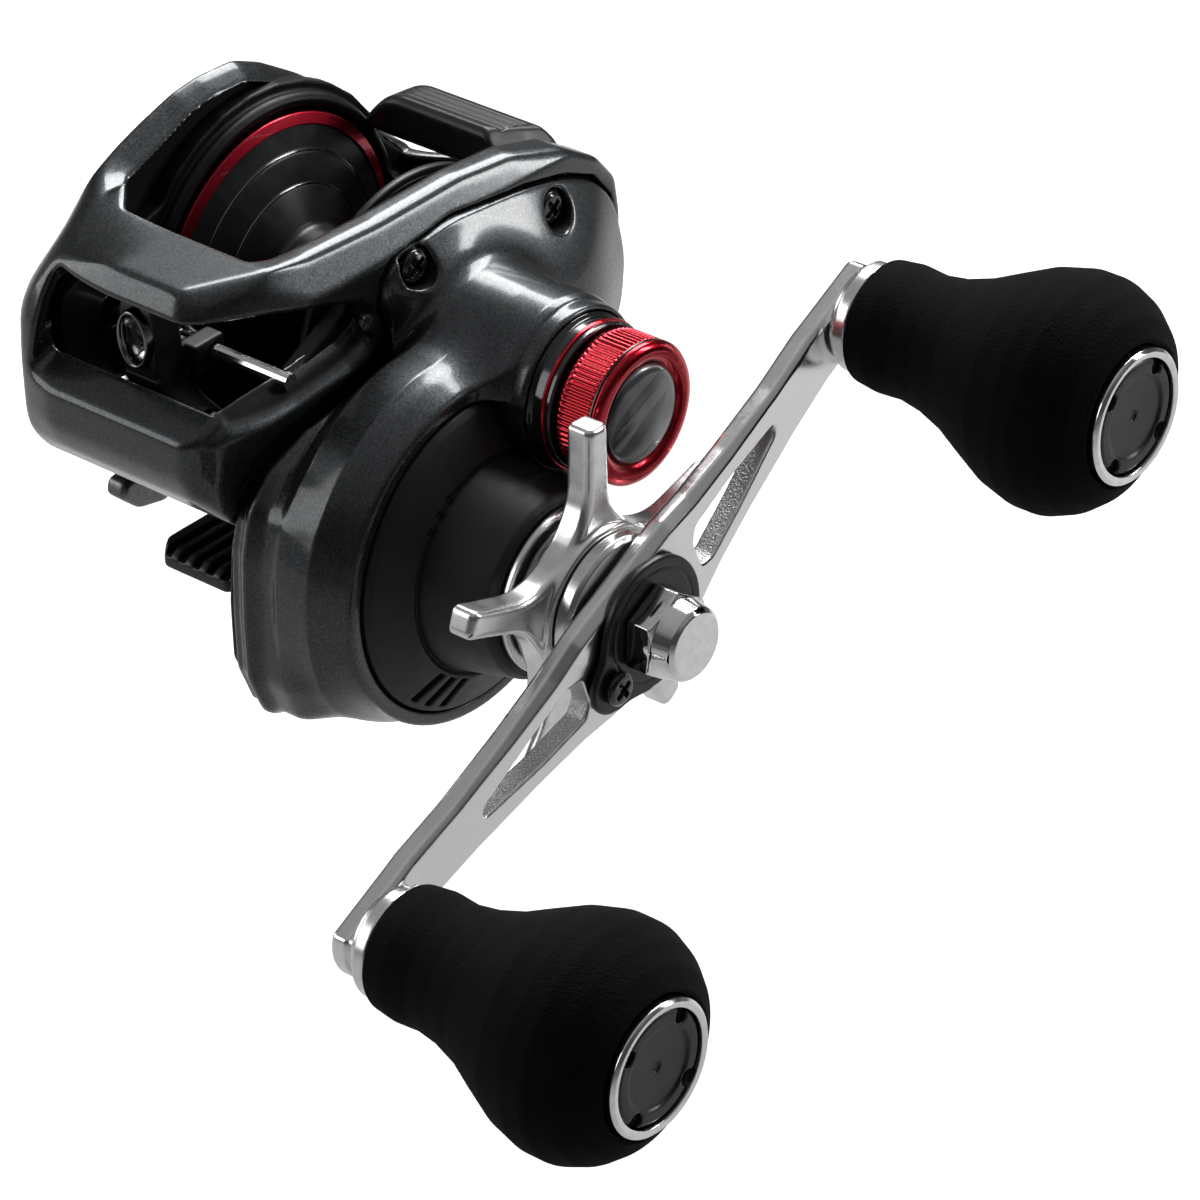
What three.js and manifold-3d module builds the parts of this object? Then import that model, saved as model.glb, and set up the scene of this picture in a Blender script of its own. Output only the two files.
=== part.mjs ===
// A low-profile baitcasting reel with its handle on the right-hand side of the foot.
// Millimetres, +Z up. The origin is on the foot's seat, in the foot's centre plane and right
// under the spool axis. +X runs along the spool towards the handle, and the line leaves
// towards -Y. Outlines are drawn in (Y, Z) from the spool axis unless a comment says otherwise.
import * as THREE from "three";
import { mergeVertices } from "three/addons/utils/BufferGeometryUtils.js";
import Module from "manifold-3d";

const wasm = await Module();
wasm.setup();

// ---------- driving dimensions ----------
const SPOOL_HEIGHT = 25; // spool axis above the seat
const DRIVE_Y = -13.65; // handle axis, measured from the spool axis
const DRIVE_Z = -17.5;
const HANDLE_TILT = 0.4398; // handle arm above the horizontal at rest, radians
const KNOB_OFFSET = 48; // knob axis to handle axis
const GAP = 0.3; // clearance between neighbouring pieces
const WELD = 1e-4; // vertices closer than this are one
const CURVE_STEPS = 10;

const SPOOL_R = 19.84;
const SPOOL_PALM_X = -13; // outer faces of the spool's two flanges
const SPOOL_GEAR_X = 10;
const SPOOL_BORE_R = 20.8; // opening in the frame round the flanges

const PALM_WALL = [-16, -13.5]; // x ranges of the frame's two walls
const GEAR_WALL = [10.6, 13];
const ARCH = [-20.2, -16.3];
const PALM_PLATE = [-24.6, -20.5];
const SIDE_PLATE_X = 13.4; // parting face of the handle side plate
const HOUSING_R = 23.6;
const HOUSING_X = 30.5;

const SHAFT_R = 3; // handle shaft
const SHAFT_HOLE_R = SHAFT_R + 0.3; // hole of a piece that sits on it
const SPOOL_SHAFT_R = 1.25;
const FOOT_HALF_WIDTH = 6.75;
const FOOT_HALF_LENGTH = 30;

const AXIS_DISTANCE = Math.hypot(DRIVE_Y, DRIVE_Z);
const DRIVE_TEETH = 78;
const PINION_TEETH = 10;
const WORM_Y = -27;
const WORM_Z = -4.5;
const WORM_R = 1.8;
const WIND_X = [13.3, 14.5]; // x range of the two level-wind gears
const WIND_TEETH = 52; // gear on the handle shaft that turns the worm
const WORM_TEETH = 22;
const GUIDE_ROD = [-26.2, 5.6];
const GUIDE_X = -2; // line guide at rest
const WORM_TRACK_R = 3.2; // room round the worm for the guide's foot
const ROUND = 28; // sides of a round piece
const SMALL_ROUND = 14; // sides of a small one
const LARGE_ROUND = 36; // and of the largest

// ---------- materials ----------
const material = (color, roughness, metalness) =>
  new THREE.MeshStandardMaterial({ color, roughness, metalness });
const paint = material(0x3b4144, 0.38, 0.75);
const matteBlack = material(0x17181a, 0.7, 0.1);
const glossBlack = material(0x0c0d0e, 0.25, 0.2);
const silver = material(0xc4c6c8, 0.28, 1);
const chrome = material(0xd8dadc, 0.1, 1);
const red = material(0xb3122a, 0.25, 0.9);
const foam = material(0x101011, 0.95, 0);
const steel = material(0x9da0a3, 0.3, 1);
const brass = material(0xb08d4a, 0.35, 1);
const carbon = material(0x222325, 0.6, 0.2);

// ---------- solids ----------
function solidOf(geometry) {
  const bare = geometry.index ? geometry : geometry.clone();
  bare.deleteAttribute("normal");
  bare.deleteAttribute("uv");
  const merged = mergeVertices(bare, WELD);
  return new wasm.Manifold(
    new wasm.Mesh({
      numProp: 3,
      vertProperties: merged.attributes.position.array,
      triVerts: new Uint32Array(merged.index.array),
    }),
  );
}

const join = (first, ...rest) => rest.reduce((sum, s) => sum.add(s), first);
const cut = (first, ...rest) => rest.reduce((sum, s) => sum.subtract(s), first);

// Lays a shape drawn in (Y, Z) across X.
const ALONG_X = new THREE.Matrix4().makeBasis(
  new THREE.Vector3(0, 1, 0),
  new THREE.Vector3(0, 0, 1),
  new THREE.Vector3(1, 0, 0),
);
// Lays a lathe's own Y axis along X.
const TURN_TO_X = new THREE.Matrix4().makeBasis(
  new THREE.Vector3(0, 0, 1),
  new THREE.Vector3(1, 0, 0),
  new THREE.Vector3(0, 1, 0),
);

function plate(shape, [from, to]) {
  const geometry = new THREE.ExtrudeGeometry(shape, {
    depth: to - from,
    bevelEnabled: false,
    curveSegments: CURVE_STEPS,
  });
  geometry.translate(0, 0, from);
  return solidOf(geometry.applyMatrix4(ALONG_X));
}

// A plate whose outer edge slopes in by `inset` over the last `rise` millimetres.
function domedPlate(shape, [from, to], rise, inset) {
  const geometry = new THREE.ExtrudeGeometry(shape, {
    depth: to - from - 2 * rise,
    bevelThickness: rise,
    bevelSize: inset,
    bevelOffset: -inset,
    bevelSegments: 2,
    curveSegments: CURVE_STEPS,
  });
  geometry.translate(0, 0, from + rise);
  return solidOf(geometry.applyMatrix4(ALONG_X));
}

// Turns a closed outline of [radius, x] points about an axis parallel to X.
function turned(profile, y = 0, z = 0, sides = ROUND) {
  const area = profile.reduce((sum, [r, x], i) => {
    const [nextR, nextX] = profile[(i + 1) % profile.length];
    return sum + r * nextX - nextR * x;
  }, 0);
  const ordered = area > 0 ? profile : [...profile].reverse();
  const points = [...ordered, ordered[0]].map(([r, x]) => new THREE.Vector2(r, x));
  const geometry = new THREE.LatheGeometry(points, sides);
  return solidOf(geometry.applyMatrix4(TURN_TO_X)).translate([0, y, z]);
}

const disc = (radius, [from, to], y = 0, z = 0, sides = ROUND) =>
  turned([[0, from], [radius, from], [radius, to], [0, to]], y, z, sides);
const ring = (inner, outer, [from, to], y = 0, z = 0, sides = ROUND) =>
  turned([[inner, from], [outer, from], [outer, to], [inner, to]], y, z, sides);

function box(x, y, z) {
  const size = [x, y, z].map(([low, high]) => high - low);
  const middle = [x, y, z].map(([low, high]) => (low + high) / 2);
  return solidOf(new THREE.BoxGeometry(...size)).translate(middle);
}

function outline(points) {
  return new THREE.Shape(points.map(([a, b]) => new THREE.Vector2(a, b)));
}

function arcPoints(radius, fromDegrees, toDegrees, steps, y = 0, z = 0) {
  return Array.from({ length: steps + 1 }, (_, i) => {
    const angle = THREE.MathUtils.degToRad(
      fromDegrees + ((toDegrees - fromDegrees) * i) / steps,
    );
    return [y + radius * Math.cos(angle), z + radius * Math.sin(angle)];
  });
}

// A spur gear outline with straight-sided teeth; one tooth points along `phase`.
function gearOutline(teeth, module, phase) {
  const pitchR = (teeth * module) / 2;
  const tipR = pitchR + 0.7 * module;
  const rootR = pitchR - 0.95 * module;
  const step = (2 * Math.PI) / teeth;
  const tipShare = 0.11; // half widths as shares of the tooth pitch
  const rootShare = 0.25;
  const points = [];
  for (let i = 0; i < teeth; i++) {
    const middle = phase + i * step;
    const corner = (radius, angle) =>
      points.push([radius * Math.cos(angle), radius * Math.sin(angle)]);
    corner(rootR, middle - rootShare * step);
    corner(tipR, middle - tipShare * step);
    corner(tipR, middle + tipShare * step);
    corner(rootR, middle + rootShare * step);
  }
  return outline(points);
}

const placed = (group, x, y, z) => {
  group.position.set(x, y, z);
  return group;
};

function piece(group, name, solid, finish) {
  const made = solid.getMesh();
  const geometry = new THREE.BufferGeometry()
    .setAttribute("position", new THREE.BufferAttribute(made.vertProperties, 3))
    .setIndex(new THREE.BufferAttribute(made.triVerts, 1));
  geometry.computeVertexNormals();
  const mesh = new THREE.Mesh(geometry, finish);
  mesh.name = name;
  group.add(mesh);
}

// ---------- groups: everything is measured from the spool axis ----------
const reel = new THREE.Group();
const body = placed(new THREE.Group(), 0, 0, SPOOL_HEIGHT);
const drive = placed(new THREE.Group(), 0, DRIVE_Y, DRIVE_Z);
const handle = new THREE.Group();
handle.rotation.x = HANDLE_TILT;
reel.add(body);
body.add(drive);
drive.add(handle);

// ---------- frame ----------
const spoolOpening = disc(SPOOL_BORE_R, [PALM_WALL[0] - 1, GEAR_WALL[0]]);

function frame() {
  const palmOutline = outline([
    [-41, 4.4], [-41.6, 0], [-37, -8], [-27, -16.5], [-14, -21.2],
    ...arcPoints(24.2, -82, -38, 4),
    [27, -7], [28, -2], ...arcPoints(23.4, 20, 140, 12), [-29, 12.5], [-36, 7],
  ]);
  const gearWallOutline = outline([
    [-36.5, 3.6], [-37.4, 0.5], [-36, -7], [-31, -14], [-23, -25.5],
    ...arcPoints(9, -130, -10, 5, DRIVE_Y, DRIVE_Z),
    ...arcPoints(24.2, -50, -30, 2), [26, -7], [27.4, -2],
    ...arcPoints(22, 12, 52, 3), [11, 18.9], [-10.5, 18.9],
    ...arcPoints(21.8, 122, 170, 4),
  ]);
  const chin = outline([
    [-42, 4.6], [-42.4, 0], [-37, -7.8], [-27, -16.3], [-13, -21.4],
    [0, -23], [9, -22.2], [8, -20], [-12, -18.6], [-24.6, -9.5],
    [-31.5, -4], [-34.5, 2.6], [-36.4, 4.8],
  ]);
  const rear = outline([
    [18.5, 5.6], [22, 2.6], [27.6, 2.4], [29, -2], [27.5, -7.4],
    ...arcPoints(24, -20, -70, 4), ...arcPoints(20.9, -66, 8, 6),
  ]);
  const rail = outline([
    [-41, 4.4], [-41.4, 0], [-36.4, -6.6], [-32.6, -2.7], [-25.8, -0.5],
    [-17, 0.2], [-9.6, 1.6], [-13.2, 9.2], [-15.2, 9.8], [-23.2, 5.6], [-35, 4],
  ]);
  const between = [PALM_WALL[0], GEAR_WALL[1]];
  const solid = join(
    plate(palmOutline, PALM_WALL),
    plate(gearWallOutline, GEAR_WALL),
    plate(chin, between),
    plate(rear, between),
    plate(rail, [GEAR_WALL[0] + 0.4, 15.6]),
  );
  return cut(
    solid,
    spoolOpening,
    ring(6, 16, [GEAR_WALL[0] - 1, 11.4]),
    disc(4.1, [GEAR_WALL[0] - 1, GEAR_WALL[1] + 1], 0, 0, SMALL_ROUND),
    disc(6.2, [GEAR_WALL[0] - 1, GEAR_WALL[1] + 1], DRIVE_Y, DRIVE_Z),
    disc(WORM_R + 0.15, [PALM_WALL[0] - 1, WIND_X[1] + 0.2], WORM_Y, WORM_Z, SMALL_ROUND),
    disc(WORM_R + WORM_TRACK_R, [PALM_WALL[1] + 0.1, GEAR_WALL[0] - 0.1], WORM_Y, WORM_Z),
    disc(6.5, [GEAR_WALL[1], WIND_X[1] + 0.2], WORM_Y, WORM_Z),
    disc(14.2, [GEAR_WALL[1], WIND_X[1] + 0.2], DRIVE_Y, DRIVE_Z),
    disc(1.25, [PALM_WALL[0] - 1, WIND_X[1] + 0.2], ...GUIDE_ROD, SMALL_ROUND),
  );
}
piece(body, "frame", frame(), matteBlack);

function frontHood() {
  const bar = outline([
    [-38, 16.6], [-37.2, 19.4], [-26, 20.8], [-25.2, 19.6], [-30, 17.4], [-36.8, 15.8],
  ]);
  // The front corners are cut off, seen from above: this outline is in (X, Y).
  const plan = outline([
    [-20.2, -25], [-20.2, -30], [-8.4, -38], [8, -38], [16.4, -28], [16.4, -25],
  ]);
  const planCut = solidOf(
    new THREE.ExtrudeGeometry(plan, { depth: 10, bevelEnabled: false }).translate(0, 0, 14),
  );
  const rightArm = outline([
    [-30, 17], [-28.5, 20.4], [-10, 20.5], [4, 20.4], [12, 19.4], [20, 17.3],
    [27, 13.4], [31, 8.6], [32.2, 3], [29.6, 3.6], [27.6, 8.6], [20, 13.6], [13, 15.3],
    [0.5, 16.8], [-10.4, 16], [-12.2, 10.4], [-15.6, 12.6], [-22, 14.6], [-30, 16],
  ]);
  const arch = outline([
    [-37.4, 16.6], [-36.4, 19], [-29, 21.2], [-17.5, 25.2], [-7, 27], [1.6, 26], [11.7, 21.3],
    [19.3, 15], [25, 7.5], [28, 2.6],
    ...arcPoints(22.6, 14, 138, 12), [-26, 16.4], [-34, 15.6],
  ]);
  const leftArm = plate(arch, [ARCH[0], PALM_WALL[0] - GAP]);
  const palmBar = outline([
    [-37.4, 16.6], [-36.4, 19], [-29, 21.2], [-25, 21.2], [-25, 18], [-34, 15.6],
  ]);
  return join(
    plate(bar, [-16, 16.4]).intersect(planCut),
    plate(rightArm, [GEAR_WALL[1] + GAP, 16.6]),
    leftArm,
    plate(palmBar, [ARCH[0], -12]).intersect(planCut),
  );
}
piece(body, "front_hood", frontHood(), paint);

// ---------- foot ----------
const FOOT_TOP = -22.5 - GAP;
function reelFoot() {
  const end = FOOT_HALF_LENGTH;
  const side = outline([
    [-end, -SPOOL_HEIGHT], [end, -SPOOL_HEIGHT], [end, -23.2], [end - 1, -22.4],
    [16, -23], [11, FOOT_TOP - 0.6], [-4, -23.6], [-11, FOOT_TOP - 0.6], [-16, -23],
    [-end + 1, -22.4], [-end, -23.2],
  ]);
  let solid = plate(side, [-FOOT_HALF_WIDTH, FOOT_HALF_WIDTH]);
  for (const y of [-25.5, 25.5])
    for (let i = -2; i <= 2; i++)
      solid = cut(solid, box([i * 2.3 - 0.5, i * 2.3 + 0.5], [y - 6, y + 6], [-23.4, -20]));
  for (const y of [-4, 4]) solid = cut(solid, screwHole(y));
  return solid;
}
const upright = (solid, y) => solid.rotate([0, 90, 0]).translate([0, y, 0]);
const screwHole = (y) => upright(disc(1.9, [22, 30], 0, 0, SMALL_ROUND), y);
piece(body, "reel_foot", reelFoot(), matteBlack);
["front", "rear"].forEach((end, i) =>
  piece(
    body,
    "foot_screw_" + end,
    upright(disc(1.6, [23.35, 24.8], 0, 0, SMALL_ROUND), i ? 4 : -4),
    steel,
  ),
);

// ---------- handle side plate, gear cover and their screws ----------
const SIDE_SCREWS = { front: [-7, 13.2], rear: [17.2, 10.4] };
const SIDE_OUTLINE = [
  [-37, -34.2], [-38, -29], [-37.8, -20], [-36.8, -12], [-35.3, -6.6], [-32, -3.2],
  [-25.8, -1.1], [-17, -0.4], [-9, 1.2], [-7.4, 2.4], [-11.6, 9.6], [-9.8, 15.4], [0.5, 16.2],
  [13, 14.7], [19.8, 13], [27, 8.2], [29, 3], [30.8, -3], [29, -10], [20, -17], [10.5, -20],
  ...arcPoints(HOUSING_R, -20, -110, 7, DRIVE_Y, DRIVE_Z), [-31, -37.4],
];

const fairingTop = disc(10.4, [28.4, 40]);
function handleSidePlate() {
  const cavityOutline = outline([
    [-35, -30], [-35.6, -20], [-34.4, -11], [-31, -5.6], [-24, -3.4], [-8, -1.6],
    [-5, 2], [-8.6, 9], [-4, 12], [12, 13], [19.4, 11.4], [25.6, 7.2], [27.6, 2.6],
    [28.6, -3], [27, -9], [18, -14],
    [8, -18], ...arcPoints(21.2, -10, -130, 6, DRIVE_Y, DRIVE_Z),
  ]);
  const dome = domedPlate(outline(SIDE_OUTLINE), [SIDE_PLATE_X - 5, 22.6], 5, 3.6);
  const parting = box([-20, SIDE_PLATE_X], [-60, 60], [-60, 40]);
  const rim = plate(outline(SIDE_OUTLINE), [SIDE_PLATE_X, 17.6]);
  const housing = turned(
    [
      [0, 16], [22, 16], [HOUSING_R, 17.6], [HOUSING_R, 26], [21.8, 29.8],
      [21, HOUSING_X], [0, HOUSING_X],
    ],
    DRIVE_Y,
    DRIVE_Z,
    LARGE_ROUND,
  );
  const lobe = plate(
    outline([[-36, -32.6], [-37.2, -22], [-28, -6], [-14, -2], [-12, -34], [-30, -36.6]]),
    [14, 25],
  );
  const fairing = turned([[0, 14], [15, 14], [14, 21], [10.6, 28], [9.7, 33.3], [0, 33.3]]);
  const overOutline = plate(outline(SIDE_OUTLINE), [14, 40]);
  let solid = join(cut(dome, parting), rim, housing, lobe, fairing.intersect(overOutline));
  solid = cut(
    solid,
    plate(cavityOutline, [SIDE_PLATE_X - 1, 19.2]),
    disc(21.2, [17.4, 28.2], DRIVE_Y, DRIVE_Z, LARGE_ROUND),
    cut(disc(18.4, [20, 40], DRIVE_Y, DRIVE_Z, LARGE_ROUND), fairingTop),
    cut(disc(19.8, [29.3, 40], DRIVE_Y, DRIVE_Z, LARGE_ROUND), fairingTop),
    disc(4.2, [SIDE_PLATE_X - 1, 40], 0, 0, SMALL_ROUND),
    disc(6.4, [SIDE_PLATE_X - 1, 14.8], WORM_Y, WORM_Z),
  );
  for (const [y, z] of Object.values(SIDE_SCREWS))
    solid = cut(
      solid,
      disc(2.4, [18.2, 30], y, z, SMALL_ROUND),
      disc(1.35, [10, 30], y, z, SMALL_ROUND),
    );
  return solid;
}
piece(body, "handle_side_plate", handleSidePlate(), paint);

const coverProfile = [
  [18, 29.5], [19.5, 29.5], [19.5, 30.4], [19, 30.9], [14.4, 33.6], [13.8, 33.3],
  [13.5, 34.2], [11.6, 42], [11.1, 42.6], [9.6, 42.6], [9.8, 41.4], [11.6, 33], [12.4, 31.8],
];
const gearCover = cut(
  turned(coverProfile, 0, 0, LARGE_ROUND),
  disc(10.4 + GAP, [20, 50], -DRIVE_Y, -DRIVE_Z),
);
piece(drive, "gear_cover", gearCover, matteBlack);

for (const [end, [y, z]] of Object.entries(SIDE_SCREWS)) {
  const screw = turned(
    [
      [0, 15.4], [1.1, 15.4], [1.1, 18.4], [2, 18.4], [2, 19.6], [0.9, 19.9], [0.9, 19], [0, 19],
    ],
    y,
    z,
    SMALL_ROUND,
  );
  piece(body, "side_screw_" + end, screw, glossBlack);
}

// ---------- tension knob ----------
const tensionBoss = turned([
  [4.4, 33.5], [9.5, 33.5], [9.4, 36], [9, 36.2], [9, 38.6], [4.4, 38.6],
]);
piece(body, "tension_boss", tensionBoss, glossBlack);
const tensionKnob = turned([
  [0, 39], [8.62, 39], [8.9, 39.5], [8.9, 44.6], [8.3, 45.4], [6.6, 45.2], [6, 44.6], [0, 44.6],
]);
piece(body, "tension_knob", tensionKnob, red);
const tensionBadge = turned([[0, 44.8], [5.7, 44.8], [5.7, 45.2], [3, 45.6], [0, 45.7]]);
piece(body, "tension_badge", tensionBadge, glossBlack);

// ---------- spool ----------
const HUB_R = 7;
const spool = turned(
  [
    [1.6, -12], [1.6, SPOOL_GEAR_X - 1], [5, SPOOL_GEAR_X - 1], [16, SPOOL_GEAR_X],
    [SPOOL_R, SPOOL_GEAR_X], [SPOOL_R, SPOOL_GEAR_X - 0.9], [15.2, SPOOL_GEAR_X - 1.8],
    [11.6, SPOOL_GEAR_X - 2.8], [HUB_R, SPOOL_GEAR_X - 4.2], [HUB_R, -7.2], [11.6, -9.6],
    [15.2, -11], [SPOOL_R, -12], [SPOOL_R, SPOOL_PALM_X], [14, SPOOL_PALM_X], [12.6, -12],
  ],
  0,
  0,
  LARGE_ROUND,
);
piece(body, "spool", spool, matteBlack);
piece(body, "spool_shaft", disc(SPOOL_SHAFT_R, [-20.2, 37.6], 0, 0, SMALL_ROUND), steel);
piece(body, "brake_rotor", ring(8, 11.6, [-17.4, -12.3]), steel);
const bearing = (inner, outer, x, y = 0, z = 0) => ring(inner, outer, x, y, z, SMALL_ROUND);
piece(body, "gear_side_spool_bearing", bearing(1.4, 4, [34.2, 37]), steel);

// ---------- palm side plate with the cast brake ----------
function palmSidePlate() {
  const edge = outline([
    [-36.4, 6], [-37, 0], [-34.4, -7], [-26, -15.6], [-14, -20.8],
    ...arcPoints(24.6, -80, -30, 5), [26.8, -4], ...arcPoints(26.2, 8, 118, 9),
    [-22, 20.6], [-31, 14.6],
  ]);
  const skirt = outline([
    [-36.8, 15.6], [-38.4, 8], [-38, 0], [-34.6, -7], [-26, -15.8], [-14, -20.9],
    ...arcPoints(24.6, -80, -30, 5), [26.8, -4], [27.2, 1.8],
    ...arcPoints(SPOOL_BORE_R, 5, -212, 20), [-26, 16], [-34, 15.2],
  ]);
  const dome = domedPlate(edge, [PALM_PLATE[0] - 1.6, PALM_PLATE[1] + 4], 4, 5);
  const inner = box([PALM_PLATE[1], 0], [-60, 60], [-60, 60]);
  return join(
    cut(dome, inner, disc(7.6, [-40, -24.8])),
    plate(skirt, [PALM_PLATE[1] - 0.1, ARCH[1]]),
  );
}
piece(body, "palm_side_plate", palmSidePlate(), paint);
const brakeHousing = turned([
  [4.2, -20.3], [20.2, -20.3], [20.2, -16.4], [19, -13.8], [12.6, -13.8], [12.6, -18],
  [6, -18], [6, -17.2], [4.2, -17.2],
]);
piece(body, "brake_housing", brakeHousing, matteBlack);
piece(body, "palm_side_spool_bearing", bearing(1.4, 4, [-20.2, -17.6]), steel);
const brakeDial = turned([[0, -25], [7.3, -25], [7.3, -26], [6.6, -27], [0, -27]]);
piece(body, "brake_dial", brakeDial, matteBlack);

const LEVER_PIVOT = [-15.5, -22.9];
function releaseLever() {
  const tab = outline([
    ...arcPoints(1.8, -60, 130, 6, ...LEVER_PIVOT),
    [-20.5, -19.9], [-25.2, -20.2], [-25.6, -22], [-22.6, -24.4], [-18, -25.4],
  ]);
  return plate(tab, [PALM_WALL[0] - 3.6, PALM_WALL[0] - 0.4]);
}
piece(body, "release_lever", releaseLever(), paint);

// ---------- thumb bar and clutch ----------
const thumbBar = plate(
  outline([
    [17.2, 13.4], [17.3, 16.8], [18.3, 17.4], [25.6, 14.6], [27.8, 10.4], [27.4, 7.6],
    [22.4, 7], [20.9, 8.4],
  ]),
  [-12.9, 10.2],
);
piece(body, "thumb_bar", thumbBar, glossBlack);
const clutchPlate = plate(
  outline([[23, 8.6], [20, 9.6], [8, 7.2], [7, 4.4], [19, 4.4], [23, 5.8]]),
  [13.4, 14.8],
);
piece(body, "clutch_plate", clutchPlate, steel);
const clutchYoke = cut(
  plate(outline([[-3.7, -4], [6, -4], [8, 4], [6, 9], [-3.4, 9], [-3.7, 4]]), [15.5, 16.8]),
  disc(2.5, [15, 17.5], 0, 0, SMALL_ROUND),
  box([15, 17.5], [-2.5, 2.5], [-8, 0]),
);
piece(body, "clutch_yoke", clutchYoke, steel);

// ---------- gears ----------
const DRIVE_MODULE = (2 * AXIS_DISTANCE) / (DRIVE_TEETH + PINION_TEETH);
const toSpool = Math.atan2(-DRIVE_Z, -DRIVE_Y); // from the drive axis to the spool axis
const wormAngle = Math.atan2(WORM_Z - DRIVE_Z, WORM_Y - DRIVE_Y);
const WORM_DISTANCE = Math.hypot(WORM_Y - DRIVE_Y, WORM_Z - DRIVE_Z);
const WIND_MODULE = (2 * WORM_DISTANCE) / (WIND_TEETH + WORM_TEETH);

// The driven gear shows a gap, and the driver a tooth, on the line between the two axes.
function drivenPhase(angle, teeth) {
  return angle + Math.PI + Math.PI / teeth;
}

const shaftHole = disc(SHAFT_R + 0.2, [0, 60], 0, 0, SMALL_ROUND);
const driveGear = cut(
  plate(gearOutline(DRIVE_TEETH, DRIVE_MODULE, toSpool), [18.6, 22.4]),
  shaftHole,
);
piece(drive, "drive_gear", driveGear, brass);
const windGear = cut(
  plate(gearOutline(WIND_TEETH, WIND_MODULE, wormAngle), WIND_X),
  shaftHole,
);
piece(drive, "level_wind_gear", windGear, matteBlack);

const pinionTeeth = gearOutline(PINION_TEETH, DRIVE_MODULE, drivenPhase(toSpool, PINION_TEETH));
const pinion = cut(
  join(
    plate(pinionTeeth, [17.2, 24.4]),
    turned(
      [
        [0, 14], [3.4, 14], [3.4, 15.2], [2.2, 15.2], [2.2, 17.1], [1.8, 17.3],
        [1.8, 30.9], [0, 30.9],
      ],
      0,
      0,
      SMALL_ROUND,
    ),
  ),
  disc(SPOOL_SHAFT_R + 0.2, [0, 60], 0, 0, SMALL_ROUND),
);
piece(body, "pinion_gear", pinion, brass);
piece(body, "pinion_bearing", bearing(2, 4, [28.8, 31.4]), steel);

const wormGear = cut(
  plate(gearOutline(WORM_TEETH, WIND_MODULE, drivenPhase(wormAngle, WORM_TEETH)), WIND_X),
  disc(WORM_R + 0.05, [0, 20], 0, 0, SMALL_ROUND),
).translate([0, WORM_Y, WORM_Z]);
piece(body, "worm_gear", wormGear, matteBlack);
piece(
  body,
  "worm_shaft",
  disc(WORM_R, [PALM_WALL[0] + 0.2, 14.4], WORM_Y, WORM_Z, SMALL_ROUND),
  steel,
);
piece(
  body,
  "guide_rod",
  disc(1.05, [PALM_WALL[0] + 0.2, 14.4], ...GUIDE_ROD, SMALL_ROUND),
  silver,
);

// ---------- line guide ----------
const ringHole = (width, height, range) => {
  const oval = new THREE.Shape();
  oval.absellipse(GUIDE_X, 9.6, width, height, 0, 2 * Math.PI);
  const geometry = new THREE.ExtrudeGeometry(oval, {
    depth: range[1] - range[0],
    bevelEnabled: false,
    curveSegments: 8,
  });
  // The oval is drawn in (X, Z) and laid back along -Y.
  geometry.rotateX(Math.PI / 2).translate(0, range[1], 0);
  return solidOf(geometry);
};
function lineGuide() {
  const side = outline([
    [-34.2, 4.2], [-34.2, 14], [-33, 15.2], [-31, 14.4], [-30, 8.6], [-24.2, 8.2],
    [-24.2, 1], [-23.8, -4], [-25.4, -7.4], [-28.6, -7.4], [-30.2, -4.5], [-32, 0.4],
  ]);
  return cut(
    plate(side, [GUIDE_X - 3.2, GUIDE_X + 3.2]),
    ringHole(2.5, 3.7, [-36, -28]),
    disc(1.2, [-20, 20], ...GUIDE_ROD, SMALL_ROUND),
    disc(WORM_R + 0.15, [-20, 20], WORM_Y, WORM_Z, SMALL_ROUND),
  );
}
piece(body, "line_guide", lineGuide(), glossBlack);
const guideRing = cut(ringHole(2.35, 3.55, [-34.9, -30.4]), ringHole(1.5, 2.6, [-36, -28]));
piece(body, "guide_ring", guideRing, chrome);

// ---------- handle shaft, drag and one-way clutch ----------
piece(drive, "drive_shaft", disc(SHAFT_R, [10.4, 61.4], 0, 0, SMALL_ROUND), steel);
piece(drive, "drive_shaft_bearing", bearing(3.1, 6, [10.7, 12.9]), steel);
piece(drive, "drag_washer", ring(SHAFT_HOLE_R, 14, [22.7, 23.5]), carbon);
piece(drive, "pressure_plate", ring(SHAFT_HOLE_R, 14.5, [23.8, 25.2]), steel);
piece(drive, "one_way_sleeve", ring(3.2, 4, [26, 42.4], 0, 0, SMALL_ROUND), steel);
piece(drive, "one_way_clutch", ring(4.2, 7.8, [30.6, 38], 0, 0, SMALL_ROUND), steel);

piece(drive, "drag_plate", ring(SHAFT_HOLE_R, 10.5, [43.1, 44]), silver);

const STAR_ARMS = 5;
const STAR_TIP_R = 23.4;
const STAR_PHASE = THREE.MathUtils.degToRad(88);
function starDrag() {
  const points = [];
  const step = (2 * Math.PI) / STAR_ARMS;
  for (let i = 0; i < STAR_ARMS; i++) {
    const angle = STAR_PHASE + i * step;
    const corner = (along, across) =>
      points.push([
        along * Math.cos(angle) - across * Math.sin(angle),
        along * Math.sin(angle) + across * Math.cos(angle),
      ]);
    corner(11.4, -4.2);
    corner(15, -2.3);
    corner(STAR_TIP_R - 0.8, -1.6);
    corner(STAR_TIP_R, -0.8);
    corner(STAR_TIP_R, 0.8);
    corner(STAR_TIP_R - 0.8, 1.6);
    corner(15, 2.3);
    corner(11.4, 4.2);
  }
  const hub = turned([
    [SHAFT_HOLE_R, 44.4], [9.4, 44.4], [10.4, 45.6], [10.4, 50.6], [9, 52.6],
    [SHAFT_HOLE_R, 52.6],
  ]);
  return cut(
    join(plate(outline(points), [46.1, 49.5]), hub),
    disc(SHAFT_HOLE_R, [40, 60]),
  );
}
piece(drive, "star_drag", starDrag(), silver);

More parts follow.
